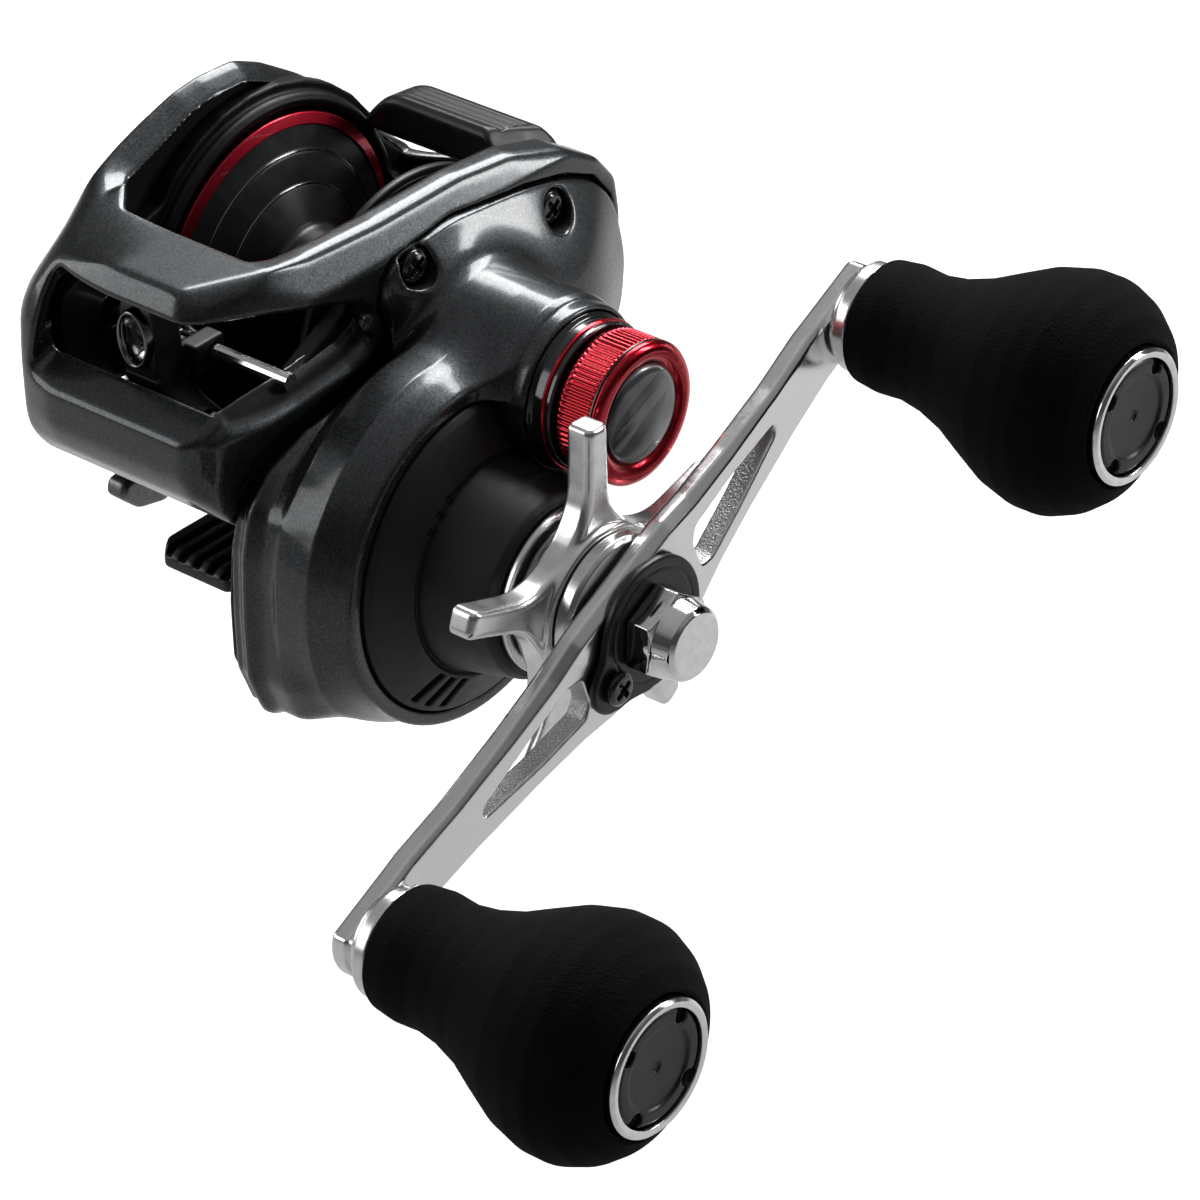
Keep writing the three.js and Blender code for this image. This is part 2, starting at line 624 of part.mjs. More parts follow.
// ---------- handle ----------
const HANDLE_X = [53, 56];
const HANDLE_DROP = 2.6; // how far the ends sit inboard of the middle
const HUB_HALF = 9; // the hub is flat this far from the shaft
const BEND_END = 40; // and the arms have dropped fully here
const ARM_END_R = 5.6;
const ARM_REACH = 60; // past both ends

// One side of an arm's edge, from the hub to the knob end, as (along, across).
const ARM_EDGE = [[HUB_HALF, 7.6], [14, 6.4], [22, 5.2], [32, 4.2], [42, 4]];
function handleArm() {
  const end = (side) => {
    const from = side > 0 ? -46 : 134;
    return arcPoints(ARM_END_R, from, from + 92, 8, side * KNOB_OFFSET, 0);
  };
  const edge = (side, top) =>
    ARM_EDGE.map(([along, across]) => [side * along, top * across]);
  const points = [
    ...edge(1, -1),
    ...end(1),
    ...edge(1, 1).reverse(),
    ...edge(-1, 1),
    ...end(-1),
    ...edge(-1, -1).reverse(),
  ];
  const shape = outline(points);
  for (const side of [-1, 1]) {
    const slot = [
      [10.8, -2.6], [13, -3.4], [20, -2.4], [29, -0.6], [29.6, 0.8], [20, 2.4], [12.6, 2.9],
    ];
    shape.holes.push(outline(slot.map(([along, across]) => [side * along, side * across])));
  }
  const inner = HANDLE_X[0];
  const outer = HANDLE_X[1];
  // The cranked thickness, seen from above the arm: this outline is in (X, along).
  const face = (x) => [
    [x - HANDLE_DROP, -ARM_REACH], [x - HANDLE_DROP, -BEND_END], [x, -HUB_HALF],
    [x, HUB_HALF], [x - HANDLE_DROP, BEND_END], [x - HANDLE_DROP, ARM_REACH],
  ];
  const profile = outline([...face(inner), ...face(outer).reverse()]);
  const cranked = solidOf(
    new THREE.ExtrudeGeometry(profile, { depth: 40, bevelEnabled: false }).translate(0, 0, -20),
  );
  const solid = plate(shape, [inner - 4, outer + 1]).intersect(cranked);
  const postHole = (side) =>
    disc(2.7, [40, 60], side * KNOB_OFFSET, 0, SMALL_ROUND);
  return cut(solid, disc(SHAFT_HOLE_R, [40, 60]), postHole(1), postHole(-1));
}
piece(handle, "handle_arm", handleArm(), silver);

const RETAINER_SCREW = [-8.2, -1.2];
const retainer = cut(
  join(
    disc(8.4, [56.3, 57.3], 0.4, 0),
    disc(3.5, [56.3, 57.3], ...RETAINER_SCREW, SMALL_ROUND),
    plate(outline([[-9, -4.6], [-4, -7], [-4, 6], [-9, 2.2]]), [56.3, 57.3]),
  ),
  disc(SHAFT_HOLE_R, [40, 60]),
  disc(1.3, [40, 60], ...RETAINER_SCREW, SMALL_ROUND),
);
piece(handle, "nut_retainer", retainer, matteBlack);
const retainerScrew = turned(
  [
    [0, 56.4], [1, 56.4], [1, 57.6], [2.1, 57.6], [2.1, 58.6], [0.9, 58.9], [0.9, 58.2],
    [0, 58.2],
  ],
  ...RETAINER_SCREW,
  SMALL_ROUND,
);
piece(handle, "retainer_screw", retainerScrew, glossBlack);

function handleNut() {
  const hexagon = outline(arcPoints(5.8, 0, 300, 5));
  return cut(
    join(
      plate(hexagon, [57.6, 61.2]),
      turned([[0, 60], [4.7, 60], [4.7, 61.2], [4.5, 63.2], [3.9, 63.96], [0, 63.96]]),
    ),
    disc(SHAFT_R + 0.2, [50, 61.7], 0, 0, SMALL_ROUND),
  );
}
piece(handle, "handle_nut", handleNut(), chrome);

// ---------- knobs ----------
const GRIP = [
  [3.2, 56.9], [7.9, 56.9], [8, 60], [7.7, 63.5], [8.3, 67], [9.6, 71], [11.6, 75], [13.5, 79],
  [14.5, 83], [14.5, 86], [13.3, 89], [11.2, 91.6], [8.6, 93.2], [8.5, 91.6], [4.2, 91.6],
  [4.2, 86], [3.2, 86],
];
function knob(side, label) {
  const group = placed(new THREE.Group(), 0, side * KNOB_OFFSET, 0);
  handle.add(group);
  const post = disc(2.5, [51.2, 91], 0, 0, SMALL_ROUND);
  piece(group, "knob_post_" + label, post, steel);
  const collar = turned([[2.8, 53.8], [6.1, 53.8], [6.1, 54.4], [6.9, 55], [6.9, 56.6], [2.8, 56.6]]);
  piece(group, "knob_collar_" + label, collar, silver);
  piece(group, "grip_" + label, turned(GRIP, 0, 0, 26), foam);
  piece(group, "knob_bearing_" + label, bearing(2.6, 4, [87.4, 90.4]), steel);
  piece(group, "cap_ring_" + label, ring(7.15, 8.3, [91.9, 93.8]), silver);
  const cap = turned([[0, 91.9], [7, 91.9], [7, 93], [6.4, 93.4], [0, 93.4]]);
  piece(group, "knob_cap_" + label, cap, matteBlack);
}
knob(1, "upper");
knob(-1, "lower");

export default reel;
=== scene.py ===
"""The looks of a low-profile baitcasting reel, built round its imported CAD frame.

Shapes are worked out in millimetres from the spool axis: X along the spool towards the handle,
Y towards the angler, Z up. Most castings and milled parts are solids described by a distance
field (below zero inside) that is turned into a mesh; round parts are turned outlines.
"""

import math

import bpy
import numpy as np
import openvdb
from mathutils import Matrix, Vector


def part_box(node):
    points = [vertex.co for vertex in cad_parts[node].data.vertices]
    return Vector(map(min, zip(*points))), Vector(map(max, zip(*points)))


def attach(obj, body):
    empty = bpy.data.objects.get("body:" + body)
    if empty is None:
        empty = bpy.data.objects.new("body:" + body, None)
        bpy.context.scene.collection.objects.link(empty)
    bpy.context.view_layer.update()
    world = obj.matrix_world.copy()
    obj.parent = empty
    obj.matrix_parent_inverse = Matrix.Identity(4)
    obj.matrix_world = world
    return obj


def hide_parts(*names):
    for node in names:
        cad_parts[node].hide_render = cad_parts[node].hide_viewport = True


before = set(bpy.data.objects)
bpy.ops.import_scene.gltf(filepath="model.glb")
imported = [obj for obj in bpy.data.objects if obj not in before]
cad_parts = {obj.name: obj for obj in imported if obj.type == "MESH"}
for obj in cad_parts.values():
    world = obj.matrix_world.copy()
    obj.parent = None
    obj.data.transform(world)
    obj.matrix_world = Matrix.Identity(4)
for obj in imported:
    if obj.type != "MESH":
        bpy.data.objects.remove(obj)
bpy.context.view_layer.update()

MM = 0.001
STEP = 0.26  # spacing of a casting's distance field
FINE = 0.2  # and of a small part's


def middle(node):
    low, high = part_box(node)
    return [(a + b) / 2 / MM for a, b in zip(low, high)]


SPOOL_Y, SPOOL_Z = middle("spool")[1:]


def axis_of(node):
    """Where a node's axis along X lies, as (y, z) from the spool axis."""
    _, y, z = middle(node)
    return (y - SPOOL_Y, z - SPOOL_Z)


DRIVE = axis_of("drive_shaft")
UPPER = axis_of("knob_cap_upper")
LOWER = axis_of("knob_cap_lower")
WORM = axis_of("worm_shaft")
GUIDE_ROD = axis_of("guide_rod")
SCREWS = {end: axis_of("side_screw_" + end) for end in ("front", "rear")}
TILT = math.atan2(UPPER[1] - DRIVE[1], UPPER[0] - DRIVE[0])  # the handle arm's angle at rest


def span(node):
    """A node's lowest and highest X, in millimetres."""
    low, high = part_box(node)
    return low.x / MM, high.x / MM


# ---------------------------------------------------------------- distance fields


def polygon(a, b, points):
    """Signed distance to a closed outline in the plane of the grid lines a and b."""
    shape = np.broadcast(a, b).shape
    nearest = np.full(shape, 1e9, np.float32)
    inside = np.zeros(shape, bool)
    ends = list(points[1:]) + [points[0]]
    for (a0, b0), (a1, b1) in zip(points, ends):
        da, db = a1 - a0, b1 - b0
        share = ((a - a0) * da + (b - b0) * db) / max(da * da + db * db, 1e-9)
        share = np.clip(share, 0, 1)
        nearest = np.minimum(nearest, (a - a0 - share * da) ** 2 + (b - b0 - share * db) ** 2)
        if db:
            inside ^= ((b0 > b) != (b1 > b)) & (a < a0 + (b - b0) * da / db)
    return np.where(inside, -1, 1).astype(np.float32) * np.sqrt(nearest)


def soften(field, radius, step, axes):
    """Rounds the corners of a field by about `radius`, along the given axes."""
    width = max(radius / step / 1.5, 0.3)
    reach = int(3 * width) + 1
    weights = np.exp(-0.5 * (np.arange(-reach, reach + 1) / width) ** 2)
    weights = (weights / weights.sum()).astype(np.float32)
    for axis in axes:
        count = field.shape[axis]
        if count == 1:
            continue
        total = np.zeros_like(field)
        for offset, weight in zip(range(-reach, reach + 1), weights):
            index = np.clip(np.arange(count) + offset, 0, count - 1)
            total += weight * np.take(field, index, axis)
        field = total
    return field


def smooth_min(a, b, radius):
    blend = np.maximum(radius - np.abs(a - b), 0) / radius
    return np.minimum(a, b) - blend * blend * radius / 4


def smooth_max(a, b, radius):
    return -smooth_min(-a, -b, radius)


def ramp(value, start, end):
    """0 before start, 1 after end, and a smooth rise between them."""
    share = np.clip((value - start) / (end - start), 0, 1)
    return share * share * (3 - 2 * share)


def between(value, low, high):
    return np.maximum(low - value, value - high)


def arc(radius, start, end, count, y=0.0, z=0.0):
    angles = np.radians(np.linspace(start, end, count))
    return [(y + radius * math.cos(t), z + radius * math.sin(t)) for t in angles]


class Block:
    """A block of space, sampled on a grid, in which a solid is described."""

    def __init__(self, low, high, step=STEP):
        self.low = np.array(low, np.float32)
        self.step = step
        counts = [int(math.ceil((h - l) / step)) + 1 for l, h in zip(low, high)]
        lines = [l + step * np.arange(n, dtype=np.float32) for l, n in zip(low, counts)]
        self.x = lines[0][:, None, None]
        self.y = lines[1][None, :, None]
        self.z = lines[2][None, None, :]
        self.shape = tuple(counts)

    def yz(self, points, rounding=0.0):
        field = polygon(self.y, self.z, points)
        return soften(field, rounding, self.step, (1, 2)) if rounding else field

    def xy(self, points, rounding=0.0):
        field = polygon(self.x, self.y, points)
        return soften(field, rounding, self.step, (0, 1)) if rounding else field

    def xz(self, points, rounding=0.0):
        field = polygon(self.x, self.z, points)
        return soften(field, rounding, self.step, (0, 2)) if rounding else field

    def radius(self, y=0.0, z=0.0):
        return np.sqrt((self.y - y) ** 2 + (self.z - z) ** 2)

    def turned(self, profile, y=0.0, z=0.0):
        """A solid turned about an axis along X, from an outline of (radius, x) points."""
        away = self.radius(y, z)
        radii = np.arange(0, float(away.max()) + self.step, self.step / 2, dtype=np.float32)
        mirrored = [(-r, x) for r, x in reversed(profile)]
        closed = list(profile) + mirrored if min(r for r, _ in profile) < 0.01 else profile
        table = polygon(radii[None, :], self.x[:, :, 0], closed)
        flat = away[0]
        return np.stack([np.interp(flat, radii, row) for row in table]).astype(np.float32)

    def disc(self, radius, x, y=0.0, z=0.0):
        return np.maximum(self.radius(y, z) - radius, between(self.x, *x))

    def sample(self, field, points):
        """The field's values at points given in grid steps."""
        base = np.clip(np.floor(points).astype(int), 0, np.array(self.shape) - 2)
        part = (points - base).astype(np.float32)
        total = np.zeros(len(points), np.float32)
        for corner in np.ndindex(2, 2, 2):
            weight = np.prod(np.where(corner, part, 1 - part), axis=1)
            index = base + corner
            total += weight * field[index[:, 0], index[:, 1], index[:, 2]]
        return total

    def slope(self, field, points):
        sides = []
        for axis in range(3):
            shift = np.zeros(3)
            shift[axis] = 0.6
            sides.append(self.sample(field, points + shift) - self.sample(field, points - shift))
        return np.stack(sides, 1) / 1.2

    def mesh(self, name, field, turn=0.0, centre=(0.0, 0.0), tags=None, blur=0.6):
        """The mesh of a field's surface, rounded a little at its edges, turned about X and set
        down at centre. tags maps the names of vertex attributes to the fields they come from."""
        field = np.ascontiguousarray(np.broadcast_to(field, self.shape), dtype=np.float32)
        if blur:
            field = soften(field, blur * self.step, self.step, (0, 1, 2))
        grid = openvdb.FloatGrid()
        grid.background = 10.0
        grid.copyFromArray(field)
        points, triangles, quads = grid.convertToPolygons(isovalue=0.0, adaptivity=0.0)
        points = points.astype(np.float64)
        for _ in range(2):
            slope = self.slope(field, points)
            steepness = np.maximum((slope**2).sum(1), 1e-4)
            move = self.sample(field, points) / steepness
            points = points - np.clip(move, -0.4, 0.4)[:, None] * slope
        slope = self.slope(field, points)
        normals = slope / np.maximum(np.linalg.norm(slope, axis=1), 1e-6)[:, None]
        places = self.low + self.step * points
        values = {tag: self.sample(f, points) for tag, f in (tags or {}).items()}
        faces = quads.tolist() + triangles.tolist()
        a, b, c = (places[quads[:, i]] for i in range(3))
        facing = np.einsum("ij,ij->i", np.cross(b - a, c - a), normals[quads[:, 0]]).sum()
        if facing < 0:
            faces = [f[::-1] for f in faces]
        cos, sin = math.cos(turn), math.sin(turn)
        rotation = np.array([[1, 0, 0], [0, cos, sin], [0, -sin, cos]])
        places = places @ rotation + np.array([0, *centre])
        return mesh_object(name, places, faces, normals @ rotation, values)


def mesh_object(name, places, faces, normals=None, values=None):
    """A mesh object from places in millimetres, measured from the spool axis."""
    shift = np.array([0, SPOOL_Y, SPOOL_Z])
    mesh = bpy.data.meshes.new(name)
    mesh.from_pydata(((places + shift) * MM).tolist(), [], faces)
    mesh.update()
    mesh.shade_smooth()
    for tag, numbers in (values or {}).items():
        mesh.attributes.new(tag, "FLOAT", "POINT").data.foreach_set("value", numbers)
    if normals is not None:
        mesh.normals_split_custom_set_from_vertices(normals.tolist())
    made = bpy.data.objects.new(name, mesh)
    bpy.context.scene.collection.objects.link(made)
    return made


def rounded(profile, radius=0.25, steps=4):
    """An outline with its corners rounded; a corner's own radius can be its third number."""
    made = []
    count = len(profile)
    for i, corner in enumerate(profile):
        here = np.array(corner[:2], float)
        before = np.array(profile[i - 1][:2], float) - here
        after = np.array(profile[(i + 1) % count][:2], float) - here
        lengths = np.linalg.norm(before), np.linalg.norm(after)
        wanted = corner[2] if len(corner) > 2 else radius
        if min(lengths) < 1e-6 or wanted <= 0 or here[0] < 1e-6:
            made.append(tuple(here))
            continue
        before, after = before / lengths[0], after / lengths[1]
        half = math.acos(max(-1.0, min(1.0, float(before @ after)))) / 2
        if half > 1.54:
            made.append(tuple(here))
            continue
        back = min(wanted / math.tan(half), 0.45 * lengths[0], 0.45 * lengths[1])
        start, end = here + before * back, here + after * back
        for k in range(steps + 1):
            t = k / steps
            point = (1 - t) ** 2 * start + 2 * t * (1 - t) * here + t * t * end
            made.append(tuple(point))
    return made


def lathe(name, profile, axis=(0.0, 0.0), sides=128, shape=None):
    """Turns an outline of (radius, x) points about an axis along X. An outline that starts and
    ends on the axis closes there; any other closes on itself. shape(angle, radius, x) may
    change the radius."""
    closed = profile[0][0] > 1e-6 or profile[-1][0] > 1e-6
    points, rows = [], []
    for r, x in profile:
        if r < 1e-6:
            rows.append([len(points)] * sides)
            points.append((x, axis[0], axis[1]))
            continue
        rows.append(list(range(len(points), len(points) + sides)))
        for k in range(sides):
            angle = 2 * math.pi * k / sides
            radius = shape(angle, r, x) if shape else r
            points.append((x, axis[0] + radius * math.cos(angle), axis[1] + radius * math.sin(angle)))
    pairs = list(zip(rows, rows[1:])) + ([(rows[-1], rows[0])] if closed else [])
    faces = []
    for first, second in pairs:
        for k in range(sides):
            ring = [first[k], first[(k + 1) % sides], second[(k + 1) % sides], second[k]]
            face = [v for i, v in enumerate(ring) if v not in ring[:i]]
            if len(face) > 2:
                faces.append(tuple(face))
    area = sum(a[0] * b[1] - b[0] * a[1] for a, b in zip(profile, list(profile[1:]) + [profile[0]]))
    if area < 0:
        faces = [f[::-1] for f in faces]
    made = mesh_object(name, np.array(points), faces)
    smooth_by_area(made)
    return made


def smooth_by_area(made):
    weighted = made.modifiers.new("even_shading", "WEIGHTED_NORMAL")
    weighted.mode = "FACE_AREA"
    weighted.weight = 80
    weighted.keep_sharp = True


# ---------------------------------------------------------------- materials


class Shader:
    """A node material: a Principled shader with the nodes that feed it."""

    def __init__(self, name, color=(0.5, 0.5, 0.5), metallic=0.0, roughness=0.5, **extra):
        self.material = bpy.data.materials.new(name)
        self.material.use_nodes = True
        self.tree = self.material.node_tree
        self.surface = self.tree.nodes["Principled BSDF"]
        self.set("Base Color", (*color, 1))
        self.set("Metallic", metallic)
        self.set("Roughness", roughness)
        for key, value in extra.items():
            self.set(key.replace("_", " ").title().replace("Ior", "IOR"), value)
        self.place = self.node("ShaderNodeTexCoord").outputs["Object"]
        self.normal = None

    def set(self, key, value):
        socket = self.surface.inputs[key]
        if isinstance(value, bpy.types.NodeSocket):
            self.tree.links.new(value, socket)
        else:
            socket.default_value = value

    def node(self, kind, inputs=None, **settings):
        made = self.tree.nodes.new(kind)
        for key, value in settings.items():
            setattr(made, key, value)
        for key, value in (inputs or {}).items():
            if isinstance(value, bpy.types.NodeSocket):
                self.tree.links.new(value, made.inputs[key])
            else:
                made.inputs[key].default_value = value
        return made

    def math(self, operation, a, b=0.0, c=0.0):
        made = self.node("ShaderNodeMath", {0: a, 1: b, 2: c}, operation=operation)
        return made.outputs[0]

    def noise(self, size, detail=3.0, stretch=(1, 1, 1)):
        """Soft noise with features of about `size` millimetres."""
        place = self.node("ShaderNodeMapping", {"Vector": self.place, "Scale": stretch}).outputs[0]
        scale = 1 / (size * MM)
        inputs = {"Vector": place, "Scale": scale, "Detail": detail}
        return self.node("ShaderNodeTexNoise", inputs).outputs["Fac"]

    def cells(self, size, output="Distance"):
        scale = 1 / (size * MM)
        return self.node("ShaderNodeTexVoronoi", {"Vector": self.place, "Scale": scale}).outputs[output]

    def spread(self, value, low, high, start=0.3, end=0.7):
        """Maps the range start..end of a value to low..high."""
        inputs = {"Value": value, "From Min": start, "From Max": end, "To Min": low, "To Max": high}
        return self.node("ShaderNodeMapRange", inputs).outputs[0]

    def blend(self, share, first, second):
        made = self.node("ShaderNodeMix", data_type="RGBA")
        for key, value in ((0, share), (6, first), (7, second)):
            if isinstance(value, bpy.types.NodeSocket):
                self.tree.links.new(value, made.inputs[key])
            else:
                made.inputs[key].default_value = value if key == 0 else (*value, 1)
        return made.outputs[2]

    def bump(self, height, depth, strength=1.0):
        """Raises the surface by `height` (0 to 1) times `depth` millimetres."""
        inputs = {"Height": height, "Distance": depth * MM, "Strength": strength}
        if self.normal:
            inputs["Normal"] = self.normal
        self.normal = self.node("ShaderNodeBump", inputs).outputs[0]
        self.set("Normal", self.normal)

    def attribute(self, name):
        return self.node("ShaderNodeAttribute", attribute_name=name).outputs["Fac"]


def lighter_on_edges(shader):
    """0 on flat faces and about 1 on outer edges, from the surface's pointiness."""
    point = shader.node("ShaderNodeNewGeometry").outputs["Pointiness"]
    return shader.spread(point, 0.0, 1.0, 0.52, 0.62)


def paint_material(name):
    """Gunmetal metallic paint under clear coat, and a matte near-black, not metallic, where `inner` is set.
    """
    s = Shader(name, roughness=0.36, metallic=0.9, coat_weight=0.7, coat_roughness=0.12)
    flake = s.cells(0.16, "Color")
    tint = s.node("ShaderNodeSeparateColor", {"Color": flake})
    sparkle = s.spread(tint.outputs[0], 0.0, 1.0, 0.0, 1.0)
    cloud = s.noise(6.0)
    base = s.blend(sparkle, (0.020, 0.0220, 0.0233), (0.064, 0.069, 0.073))
    base = s.blend(s.spread(cloud, 0.0, 0.2), base, (0.028, 0.032, 0.035))
    hidden = s.attribute("inner")
    s.set("Base Color", s.blend(hidden, base, (0.005, 0.005, 0.0055)))
    s.set("Metallic", s.math("MULTIPLY_ADD", hidden, -0.9, 0.9))
    flaky = s.spread(tint.outputs[1], 0.27, 0.43, 0.0, 1.0)
    s.set("Roughness", s.math("MULTIPLY_ADD", hidden, 0.2, flaky))
    s.set("Coat Weight", s.math("MULTIPLY_ADD", hidden, -0.7, 0.7))
    s.set("Specular IOR Level", s.math("MULTIPLY_ADD", hidden, -0.35, 0.5))
    s.bump(tint.outputs[2], 0.006, 0.35)
    return s.material


def black_material(name, level=0.014, roughness=0.42, grain=0.25, depth=0.01, coat=0.0, shine=0.5):
    """Moulded or painted black with a fine grain."""
    s = Shader(name, (level, level, level * 1.05), 0.0, roughness, coat_weight=coat, coat_roughness=0.08)
    fine = s.noise(grain)
    s.set("Roughness", s.spread(s.noise(grain * 6), roughness - 0.05, roughness + 0.06))
    s.set("Specular IOR Level", shine)
    lift = s.blend(s.spread(fine, 0.0, 1.0), (level * 0.8,) * 3, (level * 1.25,) * 3)
    # The base colour is made lighter on outer edges.
    edge = lighter_on_edges(s)
    s.set("Base Color", s.blend(s.math("MULTIPLY", edge, 0.35), lift, (level * 3,) * 3))
    s.bump(fine, depth, 0.6)
    return s.material


def metal_material(name, color, roughness=0.2, brush=(1, 1, 1), size=0.5, depth=0.003, spread=0.07):
    """Bare metal with fine machining marks; brush squeezes the marks along an axis."""
    s = Shader(name, color, 1.0, roughness)
    marks = s.noise(size, 4.0, brush)
    cloud = s.noise(5.0)
    rough = s.spread(marks, roughness - spread, roughness + spread)
    s.set("Roughness", s.math("ADD", rough, s.spread(cloud, -0.02, 0.04)))
    dark = tuple(c * 0.86 for c in color)
    s.set("Base Color", s.blend(s.spread(marks, 0.0, 1.0), color, dark))
    s.bump(marks, depth, 0.5)
    return s.material


def foam_material(name):
    """Closed-cell foam: matte black with fine pores."""
    s = Shader(name, (0.003, 0.003, 0.0033), 0.0, 0.95, specular_ior_level=0.12)
    pores = s.cells(0.38)
    fine = s.noise(0.22, 5.0)
    grey = s.spread(s.cells(0.55, "Color"), 0.0, 1.0, 0.86, 1.0)
    speck = s.math("MULTIPLY", grey, s.spread(fine, 0.0, 1.0, 0.5, 0.65))
    base = s.blend(s.spread(s.noise(7.0), 0.0, 1.0), (0.0015, 0.0015, 0.0017), (0.003, 0.003, 0.0032))
    s.set("Base Color", s.blend(speck, base, (0.014, 0.014, 0.0145)))
    height = s.math("ADD", s.math("MULTIPLY", pores, 0.8), s.math("MULTIPLY", fine, 0.6))
    s.bump(height, 0.09, 0.9)
    return s.material


def anodised_material(name, color, roughness=0.2):
    """Coloured anodised aluminium with turning marks."""
    s = Shader(name, color, 1.0, roughness, coat_weight=0.5, coat_roughness=0.05)
    marks = s.noise(0.5, 3.0, (12, 1, 1))
    deep = tuple(c * 0.55 for c in color)
    s.set("Base Color", s.blend(s.spread(marks, 0.0, 1.0), color, deep))
    s.set("Roughness", s.spread(marks, roughness - 0.05, roughness + 0.08))
    s.set("Coat Tint", (*[min(1.0, c + 0.4) for c in color], 1))
    return s.material


def badge_material(name):
    """A plain dark lens over satin metal, with a painted reflection: a soft lighter sweep across its
    colour.
    """
    s = Shader(name, (0.10, 0.105, 0.11), 0.9, 0.35, coat_weight=1.0, coat_roughness=0.02)
    # The lens colour is lighter in a soft sweep: a painted reflection.
    reflection_sweep = s.noise(9.0, 1.0)
    painted_reflection = s.spread(reflection_sweep, 0.0, 1.0, 0.4, 0.6)
    s.set("Base Color", s.blend(painted_reflection, (0.05, 0.052, 0.056), (0.22, 0.22, 0.23)))
    s.set("Roughness", s.spread(s.noise(0.3), 0.3, 0.4))
    return s.material


def carbon_material(name):
    """Woven carbon cloth: two crossed sets of stripes."""
    s = Shader(name, (0.02, 0.02, 0.02), 0.0, 0.4, coat_weight=0.4)
    weave = s.node("ShaderNodeTexChecker", {"Vector": s.place, "Scale": 1 / (1.2 * MM)}).outputs["Fac"]
    s.set("Base Color", s.blend(weave, (0.012, 0.012, 0.013), (0.05, 0.05, 0.053)))
    s.set("Roughness", s.spread(s.noise(0.4), 0.32, 0.5))
    s.bump(weave, 0.02, 0.5)
    return s.material


def arm_material(name):
    """Polished aluminium, grainy where the attribute `blasted` is set."""
    s = Shader(name, SILVER, 1.0, 0.2)
    marks = s.noise(0.6, 4.0)
    grain = s.noise(0.3, 4.0)
    grainy = s.attribute("blasted")
    s.set("Base Color", s.blend(grainy, SILVER, (0.50, 0.51, 0.51)))
    rough = s.math("MULTIPLY_ADD", grainy, 0.30, s.spread(marks, 0.15, 0.22))
    s.set("Roughness", s.math("ADD", rough, s.spread(s.noise(5.0), -0.02, 0.04)))
    s.bump(s.math("MULTIPLY", grainy, grain), 0.22, 0.8)
    return s.material


SILVER = (0.80, 0.80, 0.795)
PAINT = paint_material("gunmetal_paint")
INTERIOR = black_material("interior_black", 0.004, 0.42, shine=0.22)
MATTE = black_material("matte_black", 0.009, 0.46, 0.3, 0.012, shine=0.35)
SATIN = black_material("satin_black", 0.010, 0.34, 0.4, 0.006, shine=0.4)
GLOSS = black_material("gloss_black", 0.008, 0.16, 0.6, 0.002, 0.6)
FOAM = foam_material("grip_foam")
ALUMINIUM = metal_material("polished_aluminium", SILVER, 0.23, (1, 1, 1), 1.6, 0.0004, 0.03)
GRAPHITE = metal_material("graphite_metal", (0.16, 0.165, 0.17), 0.34)
CHROME = metal_material("chrome", (0.86, 0.86, 0.865), 0.09, (1, 1, 1), 1.2, 0.001, 0.03)
DARK_CHROME = metal_material("dark_chrome", (0.20, 0.20, 0.21), 0.12, (1, 1, 1), 1.2, 0.001, 0.03)
STEEL = metal_material("turned_steel", (0.42, 0.43, 0.44), 0.27, (14, 1, 1), 0.6, 0.004)
BRASS = metal_material("machined_brass", (0.70, 0.52, 0.24), 0.3, (10, 1, 1), 0.6, 0.004)
RED = anodised_material("red_anodised", (0.58, 0.012, 0.035))
RED_RIM = anodised_material("red_rim", (0.62, 0.03, 0.07), 0.32)
BADGE = badge_material("badge_lens")
CARBON = carbon_material("carbon_washer")
ARM_METAL = arm_material("handle_aluminium")


def finish_piece(made, material, body, node=None):
    made.data.materials.clear()
    made.data.materials.append(material)
    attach(made, body)
    if node:
        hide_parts(*([node] if isinstance(node, str) else node))
    return made


# ---------------------------------------------------------------- frame, hood and palm cover

SPOOL_BORE = 20.4  # hole in the frame round the spool flanges
WALL = 2.2  # thickness of the castings
SEAM = 0.14  # half the gap along a parting line
PARTING_X = span("handle_side_plate")[0]

# The side plate's parting line, seen from the side as (Y, Z).
SEAM_LINE = [
    (-35.3, -33.7), (-37.5, -28), (-37.5, -20), (-37.0, -12), (-35.5, -6.4), (-32.2, -3.0),
    (-25.8, -0.9), (-17, -0.2), (-9.6, 1.3), (-7.8, 2.8), (-12.6, 9.4), (-12.4, 13.6),
    (-10.8, 15.4), (0.5, 16.4), (13, 15.1), (20.2, 13.4), (26.2, 10.6), (29.6, 6.6), (31.4, -2),
    (30.2, -10), (22, -17), (12, -20.6), *arc(23.6, -22, -64, 7, *DRIVE),
    *arc(22.5, -80, -98, 3, *DRIVE), (-21.8, -38.7), (-30.2, -35.2),
]
# The part of the palm side that comes off with the cover, inside the arch.
PALM_LINE = [
    (-46, 5.2), (-46, -30), (30, -30), (34, 2.6), (26, 2.6), *arc(22.6, 7, 150, 14), (-23, 14.5),
    (-34, 11.5), (-38, 6.2),
]
LOWER_EDGE = [
    (32.2, 1), (31.6, -5), (28.5, -11), (22, -17.5), (12, -21.6), (0, -23), (-13, -21.5),
    (-27, -16.7), (-36.6, -8.8), (-40.6, -4.6),
]


